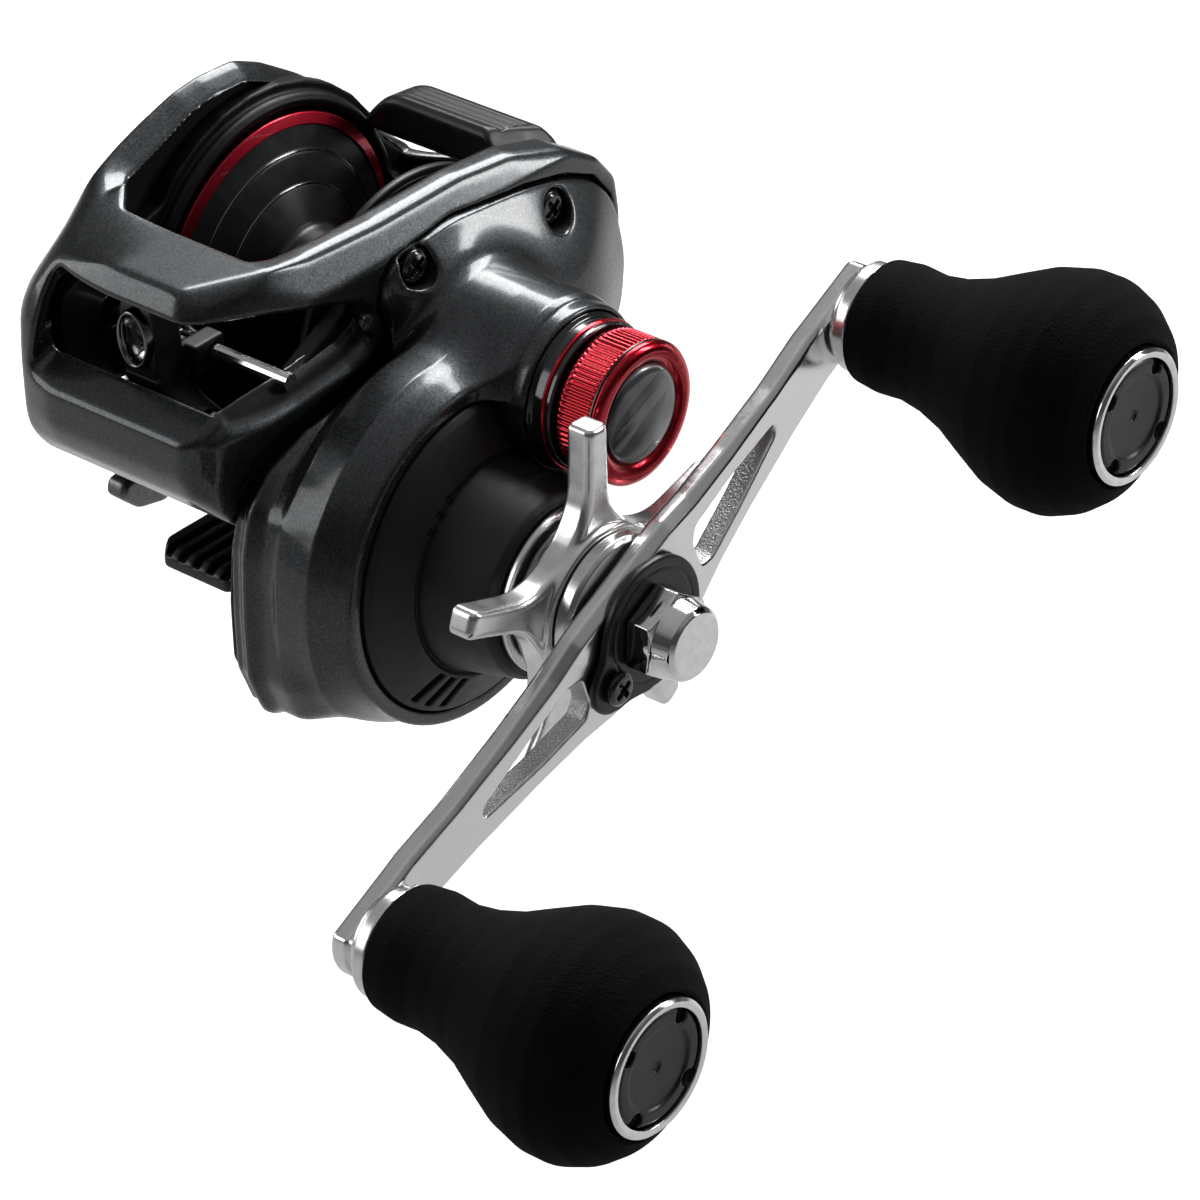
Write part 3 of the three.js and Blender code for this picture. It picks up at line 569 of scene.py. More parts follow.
def body_form(block):
    """The outer form of the frame, the hood and the palm cover as one solid."""
    front = [(-42.4, -1.4), (-42.4, 3.2), (-38.9, 17.6), (-37.4, 20.3)]
    level = block.yz(
        front + [(-28, 20.9), (-22, 20.2), (-10, 19.7), (4, 19.7), (13, 18.9), (21, 16.6),
                 (27.4, 12.6), (31, 8.4)] + LOWER_EDGE, 0.9)
    arched = block.yz(
        front[:2] + [(-38.7, 14.5), (-36.4, 17.8), (-30, 20.6), (-22.5, 22.9), (-15.7, 25.2),
                     (-10.5, 26.7), (-6, 27.2), (0, 26.9), (4.5, 24.9), (10.6, 21.0), (17, 16.2),
                     (23.3, 10.4), (27.4, 3.6)]
        + LOWER_EDGE[2:], 1.0)
    rise = ramp(-block.x, 1.0, 14.5)
    side = level + (arched - level) * rise
    # Seen from above, the corners are cut: more at the hood than at the lip below it.
    hood_plan = block.xy([(-26, -8), (-20.6, -18), (-17.6, -24.6), (-8.6, -38.2), (8.2, -38.2),
                          (14.9, -29), (17.4, -24), (17.4, 45), (-26, 45)], 0.8)
    lip_plan = block.xy([(-25, -22), (-21.4, -29), (-18.6, -36), (-15.6, -40.2), (-10, -42.4),
                         (11.6, -42.4), (14, -38.6), (15.9, -31), (17.4, -20), (17.4, 45), (-25, 45)], 0.9)
    plan = lip_plan + (hood_plan - lip_plan) * ramp(block.z, 9, 24)
    # Seen from the front: the arm's slanted flank and the belt round the lip.
    flank = block.xz([(-40, -40), (-40, 40), (13.4, 40), (14.3, 19.9), (16.7, 15.6), (15.9, 9),
                      (15.7, 3.4), (14.9, -1), (14.2, -6), (14, -40)], 0.7)
    # The palm side closes in a rounded edge.
    dome_depth = np.clip((-19.6 - block.x) / 5.8, 0, 0.999)
    dome = 5.0 * (1 - np.sqrt(1 - dome_depth**2))
    dome = dome + 1.05 * np.maximum(-17.4 - block.x, 0) * ramp(block.z, 0, 9)
    form = smooth_max(side + dome, plan, 2.4)
    return smooth_max(form, flank, 1.2), side


def spool_opening(block):
    """The opening over the spool: cut straight down between the arch, the panel and the arm."""
    top = block.xy([(-9.4, -27.2), (10.2, -27.4), (11.2, -25.6), (11.2, 20), (-13.7, 20),
                    (-13.7, -22.4)], 0.6)
    over = np.maximum(top, 3 - block.z)
    rear = block.xy([(11.2, 16), (11.2, 50), (-13.9, 50), (-13.9, 16)], 0.3)
    deck = block.yz([(16, 6.8), (21, 6.2), (23.6, 5.0), (31, 5.0), (50, 3.4), (50, 50), (10, 50)], 0.6)
    return np.minimum(over, np.maximum(rear, deck))


def window(block):
    """The opening in front of the line guide, which wraps round to the handle side."""
    lines = [(-50, -0.3), (-42.2, 3.2), (-36.6, 5.7), (-33, 5.9), (-26, 6.1), (-17, 7.1),
             (-14.2, 8.2), (-13.6, 9.4), (-15.4, 11.6), (-22, 14.4), (-30, 16.3), (-37, 16.9), (-50, 16.9)]
    flat = block.yz(lines, 0.5)[0]
    rows = []
    for x in block.x[:, 0, 0]:
        # The belt's upper face falls away towards the handle side.
        drop = min(max(x - 12.2, 0.0) * 1.05, 3.6)
        shift = int(round(drop / block.step))
        rows.append(np.minimum(flat, np.roll(flat, -shift, axis=1)))
    shape = np.stack(rows)
    left = -13.5 - block.x + 0.12 * (block.z - 5)
    return smooth_max(shape, left, 2.0)


def make_castings():
    block = Block((-27.5, -44.5, -27), (19, 35, 31))
    form, side = body_form(block)
    # The facet that falls from the arch's crest to the spool.
    fall = 0.45 + 0.35 * ramp(block.y, -24, -6)
    facet = smooth_max(form, side + fall * (block.x + 17.4), 0.9)
    above = ramp(block.z, 5.0, 9.0) * ramp(-block.x, 12.2, 13.4) * ramp(block.y, -28, -20)
    outer = form + (facet - form) * above
    away = block.radius()
    hollow = np.maximum(form + WALL, -16.2 - block.x)
    # The lip in front of the window and the rail at its handle end are solid.
    lip = np.minimum(-36.6 - block.y, 9 - block.z)
    rail = np.minimum(block.x - 11.9, 10 - block.z)
    hollow = np.maximum(hollow, np.maximum(lip, rail))
    opening = spool_opening(block)
    front = window(block)
    palm = np.maximum(block.yz(PALM_LINE, 0.4), block.x + 16.3)
    cover = np.minimum(palm, block.x + 20.5)
    seam = np.maximum(block.yz(SEAM_LINE, 0.5), PARTING_X - block.x)

    frame_solid = np.maximum(outer, -hollow)
    frame_solid = smooth_max(frame_solid, -opening, 0.9)
    frame_solid = smooth_max(frame_solid, -front, 0.9)
    frame_solid = smooth_max(frame_solid, SEAM - cover, 0.3)
    frame_solid = smooth_max(frame_solid, SEAM - seam, 0.3)
    frame_solid = np.maximum(frame_solid, block.x - 16.9)
    ring = np.maximum(away - 21.9, block.x + 13.6)
    frame_solid = np.maximum(frame_solid, -ring)
    # Faces more than about 1.5 mm inside the outer form are coloured near-black.
    depth = ramp(-np.maximum(outer, 0.55 * -opening), 0.9, 1.5)
    # The sill under the window is painted all the way in.
    depth = depth * np.maximum(ramp(block.y, -36.4, -35.6), ramp(block.z, 8, 9))
    shell = block.mesh("frame_and_hood", frame_solid, tags={"inner": depth})
    finish_piece(shell, PAINT, "reel_body", ["front_hood", "frame"])

    bore = np.maximum(away - SPOOL_BORE, -20.4 - block.x)
    palm_solid = smooth_max(form, cover + SEAM, 0.3)
    palm_solid = np.maximum(palm_solid, -bore)
    dial_seat = np.maximum(away - 7.7, block.x + 24.7)
    palm_solid = smooth_max(palm_solid, -dial_seat, 0.4)
    for angle in (35, 155, 275):
        # A shallow facet in the cover's face, one of three round the dial.
        t = math.radians(angle)
        reach = (block.y * math.cos(t) + block.z * math.sin(t) - 13.5) / 5.5
        across = (block.z * math.cos(t) - block.y * math.sin(t)) / 2.6
        scoop = np.sqrt(reach**2 + across**2) * 2.6 - 2.6
        palm_solid = smooth_max(palm_solid, -np.maximum(scoop, block.x + 24.5), 0.6)
    lever_room = block.yz([(-13.4, -19.6), (-27, -17), (-27, -30), (-13.4, -30)])
    palm_solid = np.maximum(palm_solid, -np.maximum(lever_room, -19.9 - block.x))
    depth = ramp(-form, 1.2, 1.8)
    plate = block.mesh("palm_cover", palm_solid, tags={"inner": depth})
    finish_piece(plate, PAINT, "palm_cover", "palm_side_plate")


def make_walls():
    """The frame's two inner walls, the ring round the spool and the rear deck, all near black."""
    block = Block((-17, -39, -41), (14, 33, 25))
    away = block.radius()
    outline = [(-35, 3.5), (-34.6, -4), (-27, -14), (-13, -19.6), (0, -21.2), (12, -20.2), (22, -15.4),
               (27, -9), (28.5, -2), (26.4, 4), *arc(23.3, 20, 128, 10), (-17, 15.4), (-27, 13), (-34, 11)]
    palm = np.maximum(block.yz(outline, 0.5), between(block.x, -16.1, -13.9))
    lip = np.maximum(np.maximum(away - 21.9, SPOOL_BORE - away), between(block.x, -16.1, -13.0))
    bead = np.sqrt(((away - 21.15) / 1.0) ** 2 + ((block.x + 13.0) / 1.0) ** 2) - 0.8
    lower = [(-35.5, 3.2), (-35, -5), (-29, -12), (-23, -20), (-13, -22), (0, -21.4), (12, -20.4),
             (22, -15.4), (27, -9), (28.5, -2), (25.6, 5.4), (19.5, 12), (9, 18), (-9, 18.2), (-13.4, 14.6),
             (-15.2, 9.4), (-24, 5.2)]
    gear = np.maximum(block.yz(lower, 0.5), between(block.x, 10.7, 13.0))
    # The gear-side wall reaches down behind the gear case and closes it.
    case = [(-34.9, -33.3), (-37.1, -28), (-37.0, -20), (-36, -12), (-30, -6), (0, -10), (14, -18),
            *arc(23.2, -22, -64, 7, *DRIVE), *arc(22.2, -80, -98, 3, *DRIVE), (-21.8, -38.3),
            (-29.9, -34.8)]
    gear = np.minimum(gear, np.maximum(block.yz(case, 0.6) + 1.0, between(block.x, 11.7, 13.1)))
    deck = block.yz([(19.2, 5.6), (22, 3.0), (28, 2.4), (29, -2), (27.5, -7.4), *arc(24, -20, -70, 6),
                     *arc(21, -66, 12, 8)], 0.5)
    deck = np.maximum(deck, between(block.x, -14.5, 11))
    floor = block.yz([(-37, 3), (-37, -4.5), (-27, -14), (-14, -20.6), (0, -22.4), (0, -20.9),
                      (-11.6, -18.2), (-23.6, -11.2), (-30.4, -6.4), (-34.4, 3)], 0.5)
    floor = np.maximum(floor, between(block.x, -14.5, 11))
    solid = smooth_min(smooth_min(palm, smooth_min(lip, bead, 0.5), 0.4), gear, 0.3)
    solid = smooth_min(solid, smooth_min(deck, floor, 0.3), 0.8)
    solid = np.maximum(solid, -block.disc(SPOOL_BORE, (-30, 10.75)))
    groove = np.maximum(np.abs(away - 13.5) - 3.2, between(block.x, 9, 11.5))
    solid = np.maximum(solid, -groove)
    for y, z, r in ((0, 0, 4.1), (*DRIVE, 6.2), (-27, -4.5, 2.0)):
        solid = np.maximum(solid, r - block.radius(y, z))
    solid = np.maximum(solid, 2.2 - block.radius(*GUIDE_ROD))
    track = np.maximum(block.radius(*WORM) - 5.1, between(block.x, -13.6, 10.6))
    solid = np.maximum(solid, -track)
    walls = block.mesh("frame_walls", solid)
    finish_piece(walls, INTERIOR, "reel_body", "frame")


# ---------------------------------------------------------------- handle side plate

# The fillet under the tension knob's boss and the boss itself, as (radius, x).
FAIRING = [(0, 16), (11.5, 16), (11.3, 20), (11.1, 24), (10.95, 28), (10.9, 32.6), (10.6, 33.4),
           (10.35, 33.6), (10.3, 35.2), (10.0, 35.6), (0, 35.6)]


def make_side_plate():
    block = Block((12.6, -41, -43.5), (36.6, 34, 18.5))
    seam = block.yz(SEAM_LINE, 0.5)
    x = block.x
    # Upper part: a steep belt at the parting line, then a slanted facet up to the boss.
    inset = 0.3 * (x - 15) + 1.7 * np.maximum(x - 16.8, 0)
    upper = smooth_max(block.yz(SEAM_LINE, 3.0) + inset, x - 22.0, 3.0)
    # Lower part: from the parting outline to a round housing about the handle shaft.
    lobe = block.yz([(-35.3, -33.7), (-37.5, -28), (-37.5, -20), (-37.0, -12), (-35.5, -6.4),
                     (-32.2, -3.0), (-25.8, -0.9), (-17, -0.2), (-9.6, 1.3), (-4, 0), (4, -12), (6, -28),
                     *arc(23.9, -38, -64, 5, *DRIVE), *arc(22.7, -80, -98, 3, *DRIVE),
                     (-21.8, -38.9), (-30.2, -35.3)], 1.2)
    away = block.radius(*DRIVE)
    below = ramp((DRIVE[1] - block.z) / np.maximum(away, 1), 0.4, 0.95)
    radius = np.maximum(23.7 - 2.3 * np.clip((x - 25.6) / 4.9, 0, 1) - 1.3 * below, 21.4)
    share = ramp(x, 20.5, 28.2)
    # The round gear housing grows out of the plate with height.
    swelling = 21.2 + (x - 18.4) * 1.05
    lower = smooth_min(lobe + (away - radius - lobe) * share, away - np.minimum(radius, swelling), 1.5)
    lower = smooth_max(lower, x - 30.5, 0.7)
    fairing = block.turned(FAIRING)
    form = smooth_min(smooth_min(upper, lower, 4.5), fairing, 4.5)
    form = smooth_max(form, seam - 1.5 * np.maximum(x - 15.4, 0), 0.5)
    solid = smooth_max(form, seam + SEAM - 1.5 * np.maximum(x - 14.6, 0), 0.5)
    solid = smooth_max(solid, PARTING_X - x, 0.3)

    seat = np.maximum(away - 20.0, 29.6 - x)
    dish = np.maximum(away - 18.6, 20 - x)
    boss = block.radius() - 10.5
    solid = np.maximum(solid, -np.maximum(np.minimum(seat, dish), -boss))
    cavity = np.maximum(np.maximum(form + 1.5, seam + WALL), between(x, 0, 19.2))
    recesses = np.full(block.shape, 50.0, np.float32)
    holes = np.full(block.shape, 50.0, np.float32)
    for y, z in SCREWS.values():
        beside, above = block.y - y, block.z - z
        hole = np.sqrt(beside**2 + above**2)
        pit = np.maximum(hole - 2.5, 16.1 - x)
        # The recess runs out like a teardrop up the slope towards the boss.
        down = 0.6 * beside - 0.8 * above
        aside = np.abs(0.6 * above + 0.8 * beside)
        tail = np.maximum(aside - 2.45 + 0.62 * down, 16.4 + 1.5 * down - x)
        tail = np.maximum(tail, between(down, 0, 3.5))
        recesses = np.minimum(recesses, smooth_min(pit, tail, 0.6))
        holes = np.minimum(holes, hole - 1.4)
    cavity = np.maximum(cavity, 1.2 - recesses)
    gear_room = np.maximum(away - 20.35 - 0.5 * np.clip(x - 18.2, 0, 2), between(x, 18.2, 28.2))
    solid = np.maximum(solid, -np.minimum(cavity, gear_room))
    solid = np.maximum(solid, 4.25 - block.radius())
    worm_room = np.maximum(block.radius(*WORM) - 6.5, x - 14.8)
    solid = np.maximum(solid, -np.minimum(worm_room, holes))
    solid = smooth_max(solid, -recesses, 0.5)
    solid = np.maximum(solid, -block.disc(9.65, (33.4, 40)))
    depth = np.maximum(ramp(-form, 1.2, 1.8), ramp(-np.minimum(seat, dish), -0.4, 0.0))
    plate = block.mesh("handle_side_cover", solid, tags={"inner": depth})
    finish_piece(plate, PAINT, "reel_body", "handle_side_plate")


def make_gear_cover():
    y, z = DRIVE
    block = Block((28.9, y - 20.4, z - 20.4), (43.6, y + 20.4, z + 20.4), FINE)
    solid = block.turned([
        (18, 29.5), (19.7, 29.5), (19.7, 30.7), (19.0, 31.3), (14.7, 33.6), (14.3, 33.75), (13.9, 33.4),
        (13.7, 33.1), (13.45, 34.1), (11.7, 42.2), (11.1, 42.9), (9.7, 42.9), (9.9, 41.4), (11.6, 33),
        (12.6, 31.6), (17.6, 30.4),
    ], y, z)
    # Three slots low on the cover's front, and three notches round the sleeve.
    angle = np.arctan2(block.z - z, block.y - y)
    away = block.radius(y, z)
    for degrees in (-133, -124, -115):
        across = away * np.sin(angle - math.radians(degrees))
        slot = np.maximum(np.abs(across) - 0.6, between(away, 14.6, 18.8))
        slot = np.maximum(slot, np.abs(angle - math.radians(degrees)) - 0.5)
        surface = block.x - (31.3 + (19.0 - away) * 0.535)
        solid = smooth_max(solid, -np.maximum(slot, -surface - 0.95), 0.25)
    for degrees in (140, 131, 122):
        across = away * np.sin(angle - math.radians(degrees))
        notch = np.maximum(np.abs(across) - 0.4, between(away, 13.5, 14.5))
        notch = np.maximum(notch, np.abs(angle - math.radians(degrees)) - 0.5)
        solid = smooth_max(solid, -np.maximum(notch, 33.1 - block.x), 0.12)
    solid = np.maximum(solid, 10.75 - block.radius())
    cover = block.mesh("gear_cover_shell", solid)
    finish_piece(cover, MATTE, "reel_body", "gear_cover")


# ---------------------------------------------------------------- tension knob


def make_tension_knob():
    boss = rounded([(4.4, 33.5), (9.5, 33.5), (9.5, 35.6), (9.1, 36.0), (9.1, 38.6), (4.4, 38.6)], 0.3)
    finish_piece(lathe("tension_boss_black", boss, sides=160), GLOSS, "reel_body", "tension_boss")
    accent = rounded([(8.2, 37.3), (9.3, 37.3), (9.35, 37.5), (9.3, 37.85), (8.2, 37.85)], 0.1)
    finish_piece(lathe("tension_boss_ring", accent, sides=160), RED, "reel_body", "tension_boss")
    teeth = 76

    def knurl(angle, radius, x):
        if not 39.6 < x < 44.1 or radius < 8.3:
            return radius
        fade = min(1.0, (x - 39.6) / 0.4, (44.1 - x) / 0.4)
        return radius - 0.26 * fade * (0.5 + 0.5 * math.cos(teeth * angle))

    body = [(0, 39), (8.1, 39), (8.7, 39.2), (8.76, 39.5)]
    body += [(8.9, 39.65 + 0.25 * i) for i in range(18)]
    body += [(8.66, 44.15), (8.62, 44.3), (8.9, 44.4), (8.92, 44.7), (8.6, 45.15), (7.9, 45.42),
             (7.2, 45.4), (6.5, 45.0), (6.3, 44.7), (0, 44.6)]
    finish_piece(lathe("tension_knob_red", body, sides=teeth * 6, shape=knurl), RED, "tension_knob",
                 "tension_knob")
    lens = [(0, 44.7), (6.2, 44.7), (6.25, 44.85), (5.9, 45.15)]
    lens += [(5.9 * math.cos(t), 45.15 + 0.5 * math.sin(t)) for t in (0.25, 0.5, 0.75, 1.0, 1.25, 1.45)]
    lens += [(0, 45.65)]
    finish_piece(lathe("tension_badge_lens", lens, sides=160), BADGE, "tension_knob", "tension_badge")
    band = rounded([(8.3, 44.0), (8.93, 44.05), (8.93, 44.3), (8.3, 44.35)], 0.08)
    finish_piece(lathe("tension_knob_band", band, sides=160), GLOSS, "tension_knob", "tension_knob")


# ---------------------------------------------------------------- spool and cast brake


def make_spool():
    rim, palm_x, gear_x = 19.84, span("spool")[0], span("spool")[1]
    body = rounded([
        (1.6, palm_x + 1), (1.6, gear_x - 1), (5, gear_x - 1), (15.9, gear_x - 0.1), (rim - 0.9, gear_x),
        (rim - 0.9, gear_x - 0.9), (15.6, gear_x - 1.5), (15.1, gear_x - 1.9), (11.8, gear_x - 2.6),
        (11.4, gear_x - 3.0), (7, gear_x - 4.2, 1.2), (7, palm_x + 5.8, 1.2), (11.4, palm_x + 3.6),
        (11.8, palm_x + 3.2), (15.1, palm_x + 2.2), (15.6, palm_x + 1.8), (rim - 0.9, palm_x + 0.9),
        (rim - 0.9, palm_x), (14, palm_x), (12.6, palm_x + 1),
    ], 0.3)
    finish_piece(lathe("spool_body", body, sides=192), SATIN, "spool", "spool")
    # The flange on the palm side has a red rim; the other one is black.
    red = [(rim - 1.0, palm_x), (rim, palm_x), (rim, palm_x + 0.9), (rim - 1.5, palm_x + 1.35),
           (rim - 1.5, palm_x + 1.0)]
    ring = lathe("spool_rim_palm", rounded(red, 0.2), sides=192)
    finish_piece(ring, RED_RIM, "spool", "spool")
    black = [(rim - 1.0, gear_x), (rim, gear_x), (rim, gear_x - 0.95), (rim - 1.0, gear_x - 1.15)]
    ring = lathe("spool_rim_gear", rounded(black, 0.28), sides=192)
    finish_piece(ring, SATIN, "spool", "spool")
    for radius, x in ((15.35, gear_x - 1.62), (11.6, gear_x - 2.72), (15.35, palm_x + 1.92),
                      (11.6, palm_x + 3.32)):
        bead = [(radius + 0.18 * math.cos(t), x + 0.18 * math.sin(t)) for t in np.linspace(0, 5.5, 8)]
        finish_piece(lathe(f"spool_bead_{radius:.0f}_{'gear' if x > 0 else 'palm'}", bead, sides=160),
                     DARK_CHROME, "spool", "spool")
    hub = rounded([(5.6, -3.6), (7.12, -3.6), (7.12, 2.4), (5.6, 2.4)], 0.3)
    finish_piece(lathe("spool_hub_band", hub, sides=128), GLOSS, "spool", "spool")


def make_brake():
    housing = rounded([
        (4.2, -20.3), (20.2, -20.3), (20.2, -16.4), (19, -13.8), (12.6, -13.8), (12.6, -18), (6, -18),
        (6, -17.2), (4.2, -17.2),
    ], 0.3)
    finish_piece(lathe("brake_housing_shell", housing, sides=160), MATTE, "palm_cover", "brake_housing")
    block = Block((-27.6, -8.2, -8.2), (-24.4, 8.2, 8.2), FINE)
    solid = block.turned([(0, -25), (7.3, -25), (7.3, -26.1), (6.7, -26.9), (5.6, -27.1), (0, -27.1)])
    away = block.radius()
    for k in range(12):
        t = 2 * math.pi * k / 12
        solid = smooth_max(solid, 0.85 - block.radius(7.5 * math.cos(t), 7.5 * math.sin(t)), 0.3)
    # A grip bar across the dial, left standing between two hollows.
    hollow = np.maximum(away - 5.2, block.x + 26.2)
    bar = np.abs(block.z) - 1.15
    solid = smooth_max(solid, -np.maximum(hollow, -bar), 0.4)
    mark = np.maximum(block.radius(6.3, 0) - 0.4, block.x + 26.8)
    solid = np.maximum(solid, -mark)
    finish_piece(block.mesh("brake_dial_cap", solid), SATIN, "brake_dial", "brake_dial")

    low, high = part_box("release_lever")
    block = Block((low.x / MM - 0.6, -27, -27.0), (high.x / MM + 0.6, -12.6, -18.6), FINE)
    tab = block.yz([*arc(1.8, -60, 130, 8, -15.5, -22.9), (-20.5, -19.9), (-24.4, -20.4), (-25.0, -22.2),
                    (-22.0, -25.0), (-17.6, -26.0)], 0.5)
    thick = between(block.x, low.x / MM, high.x / MM)
    solid = smooth_max(tab, thick, 0.9)
    dimple = np.maximum(block.radius(-15.5, -22.9) - 0.9, block.x - low.x / MM - 0.5)
    solid = smooth_max(solid, -dimple, 0.2)
    finish_piece(block.mesh("release_lever_tab", solid), GRAPHITE, "release_lever", "release_lever")


# ---------------------------------------------------------------- line guide


def make_line_guide():
    low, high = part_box("line_guide")
    centre = (low.x + high.x) / 2 / MM
    block = Block((centre - 4.2, -35.6, -8.2), (centre + 5.4, -23.2, 16.4), FINE)
    side = block.yz([(-34, 3.4), (-34.3, 6), (-34.3, 13), (-33.4, 15.2), (-31.2, 15), (-30.2, 12.6),
                     (-29.6, 8.6), (-29.2, 3), (-26.4, -1), (-23.8, -4), (-25.4, -7.2), (-28.6, -7.2),
                     (-30.2, -4.5), (-32.2, 0.4)], 0.35)
    half = 2.75 - 0.35 * ramp(block.z, 12, 15.2) + 0.25 * ramp(-block.z, -5.6, -2.5)
    column = smooth_max(side, np.abs(block.x - centre) - half, 0.5)
    # The bracket that runs on the guide rod.
    arm = block.yz([(-29.4, 3.6), (-29.4, 7.4), (-24.4, 7.4), (-24.3, 3.6)], 0.3)
    bracket = smooth_max(arm, between(block.x, centre - 2.4, centre + 4.4), 0.5)
    solid = smooth_min(column, bracket, 0.3)
    hole = np.sqrt(((block.x - centre) / 2.2) ** 2 + ((block.z - 9.6) / 3.5) ** 2) * 2.7 - 2.7
    solid = smooth_max(solid, -hole, 0.3)
    solid = np.maximum(solid, 1.2 - block.radius(*GUIDE_ROD))
    solid = np.maximum(solid, 1.95 - block.radius(*WORM))
    parting = np.maximum(np.abs(block.z - 4.5) - 0.16, block.y + 33.6)
    solid = smooth_max(solid, -np.maximum(parting, -34.6 - block.y), 0.1)
    finish_piece(block.mesh("line_guide_column", solid), MATTE, "line_guide", "line_guide")

    points, faces = [], []
    around, across = 72, 16
    for i in range(around):
        t = 2 * math.pi * i / around
        for k in range(across):
            u = 2 * math.pi * k / across
            swell = 0.55 * math.cos(u)
            x = centre + (2.2 + swell) * math.cos(t)
            z = 9.6 + (3.5 + swell) * math.sin(t)
            points.append((x, -33.0 + 2.3 * math.sin(u), z))
            ni, nk = (i + 1) % around, (k + 1) % across
            faces.append((i * across + k, ni * across + k, ni * across + nk, i * across + nk))
    made = mesh_object("guide_ring_insert", np.array(points), [f[::-1] for f in faces])
    finish_piece(made, DARK_CHROME, "line_guide", "guide_ring")


def make_worm():
    low, high = span("worm_shaft")

    def grooves(angle, radius, x):
        if not low + 3.4 < x < high - 5.2:
            return radius
        pitch = 4.4
        depth = 0.0
        for hand in (1, -1):
            phase = (x / pitch + hand * angle / (2 * math.pi)) % 1.0
            depth = max(depth, 1 - (min(phase, 1 - phase) / 0.13) ** 2)
        return radius - 0.5 * max(depth, 0.0)

    steps = int((high - low - 1) / 0.2)
    body = [(0, low), (1.6, low), (1.8, low + 0.3)]
    body += [(1.8, low + 0.5 + 0.2 * i) for i in range(steps)]
    body += [(1.8, high - 0.3), (1.6, high), (0, high)]
    worm = lathe("worm_screw", body, WORM, 48, grooves)
    finish_piece(worm, STEEL, "worm", "worm_shaft")


# ---------------------------------------------------------------- thumb bar and foot


def make_thumb_bar():
    low, high = span("thumb_bar")
    block = Block((low - 0.8, 15.6, 5.6), (high + 0.8, 29, 19.4), FINE)
    side = block.yz([(16.6, 12.8), (16.7, 17.0), (17.6, 17.9), (25.5, 15.4), (28.0, 10.8), (27.7, 9.2),
                     (22.4, 8.9), (20.5, 9.8)], 0.5)
    solid = smooth_max(side, between(block.x, low, high), 0.8)
    # The handle-side end is a slanted facet, and three shallow grooves run along the top.
    facet = (block.x - high + 1.7) * 0.8 + (block.z - 15.8) * 0.6
    solid = smooth_max(solid, facet, 0.5)
    rounding = (low + 2.2 - block.x) * 0.7 + (block.z - 15.8) * 0.7
    solid = smooth_max(solid, rounding, 1.8)
    for y in (20.0, 21.8, 23.6):
        top = 17.9 - (y - 17.6) * 0.316
        groove = block.radius(y, top + 0.35) - 0.75
        groove = np.maximum(groove, between(block.x, low + 2.6, high - 2.8))
        solid = smooth_max(solid, -groove, 0.35)
    finish_piece(block.mesh("thumb_bar_wedge", solid), SATIN, "thumb_bar", "thumb_bar")


def make_foot():
    block = Block((-7.6, -30.8, -25.6), (7.6, 30.8, -21.4), FINE)
    side = block.yz([(-30, -25), (30, -25), (30, -23.3), (28.6, -22.5), (16, -22.95), (11, -23.0),
                     (-4, -23.1), (-11, -23.0), (-16, -22.95), (-28.6, -22.5), (-30, -23.3)], 0.25)
    side = np.minimum(side, block.yz([(-13, -24), (-13, -22.9), (13, -22.9), (13, -24)]))
    plan = block.xy([(-7.1, -20), (-6.9, -27.2), (-5.0, -30), (5.0, -30), (6.9, -27.2), (7.1, -20),
                     (7.1, 20), (6.9, 27.2), (5.0, 30), (-5.0, 30), (-6.9, 27.2), (-7.1, 20)], 0.4)
    solid = smooth_max(side, plan, 0.6)
    for end in (-1, 1):
        for k in range(-2, 3):
            groove = np.maximum(np.abs(block.x - 2.3 * k) - 0.5, between(end * block.y, 18.5, 31))
            solid = smooth_max(solid, -np.maximum(groove, -23.35 - block.z), 0.3)
    for y in (-4, 4):
        hole = np.sqrt(block.x**2 + (block.y - y) ** 2) - 1.9
        solid = np.maximum(solid, -hole)
    finish_piece(block.mesh("foot_plate", solid), SATIN, "reel_body", "reel_foot")


# ---------------------------------------------------------------- star drag, handle and its nut


def make_star():
    block = Block((44, -24.4, -24.4), (53.2, 24.4, 24.4), FINE)
    away = block.radius()
    arms = None
    for k in range(5):
        t = math.radians(88 + 72 * k)
        along = block.y * math.cos(t) + block.z * math.sin(t)
        across = np.abs(block.z * math.cos(t) - block.y * math.sin(t))
        width = 1.75 + 0.30 * np.clip((20 - along) / 10, 0, 1)
        arm = smooth_max(across - width, along - 23.4, 0.9)
        arm = np.maximum(arm, -along)
        arms = arm if arms is None else np.minimum(arms, arm)
    outline = smooth_min(arms, away - 9.9, 6.5)
    middle_x = 47.9 - 0.002 * (away - 12)
    plate = np.abs(block.x - middle_x) - 1.75
    bevel = (outline + (block.x - middle_x) - 1.2) * 0.72
    star = smooth_max(smooth_max(outline, plate, 0.35), bevel, 0.3)
    hub = block.turned([(3.3, 44.5), (9.3, 44.5), (10.2, 45.6), (10.2, 50.2), (9.2, 50.8), (9.2, 52.0),
                        (8.6, 52.6), (3.3, 52.6)])
    star_only = np.maximum(smooth_min(star, np.maximum(hub, block.x - 50.4), 0.6), 3.3 - away)
    made = block.mesh("star_wheel", np.maximum(star_only, 8.2 - away), centre=DRIVE)
    finish_piece(made, ALUMINIUM, "star_drag", "star_drag")
    core = rounded([(3.3, 44.6), (8.4, 44.6), (8.4, 50.5), (9.6, 50.6), (9.6, 52.1), (9.1, 52.6),
                    (3.3, 52.6)], 0.25)
    finish_piece(lathe("star_hub", core, DRIVE, 128), ALUMINIUM, "star_drag", "star_drag")
    washer = rounded([(3.35, 43.1), (10.4, 43.1), (10.4, 44.0), (3.35, 44.0)], 0.2)
    finish_piece(lathe("drag_plate_ring", washer, DRIVE, 128), ALUMINIUM, "handle", "drag_plate")


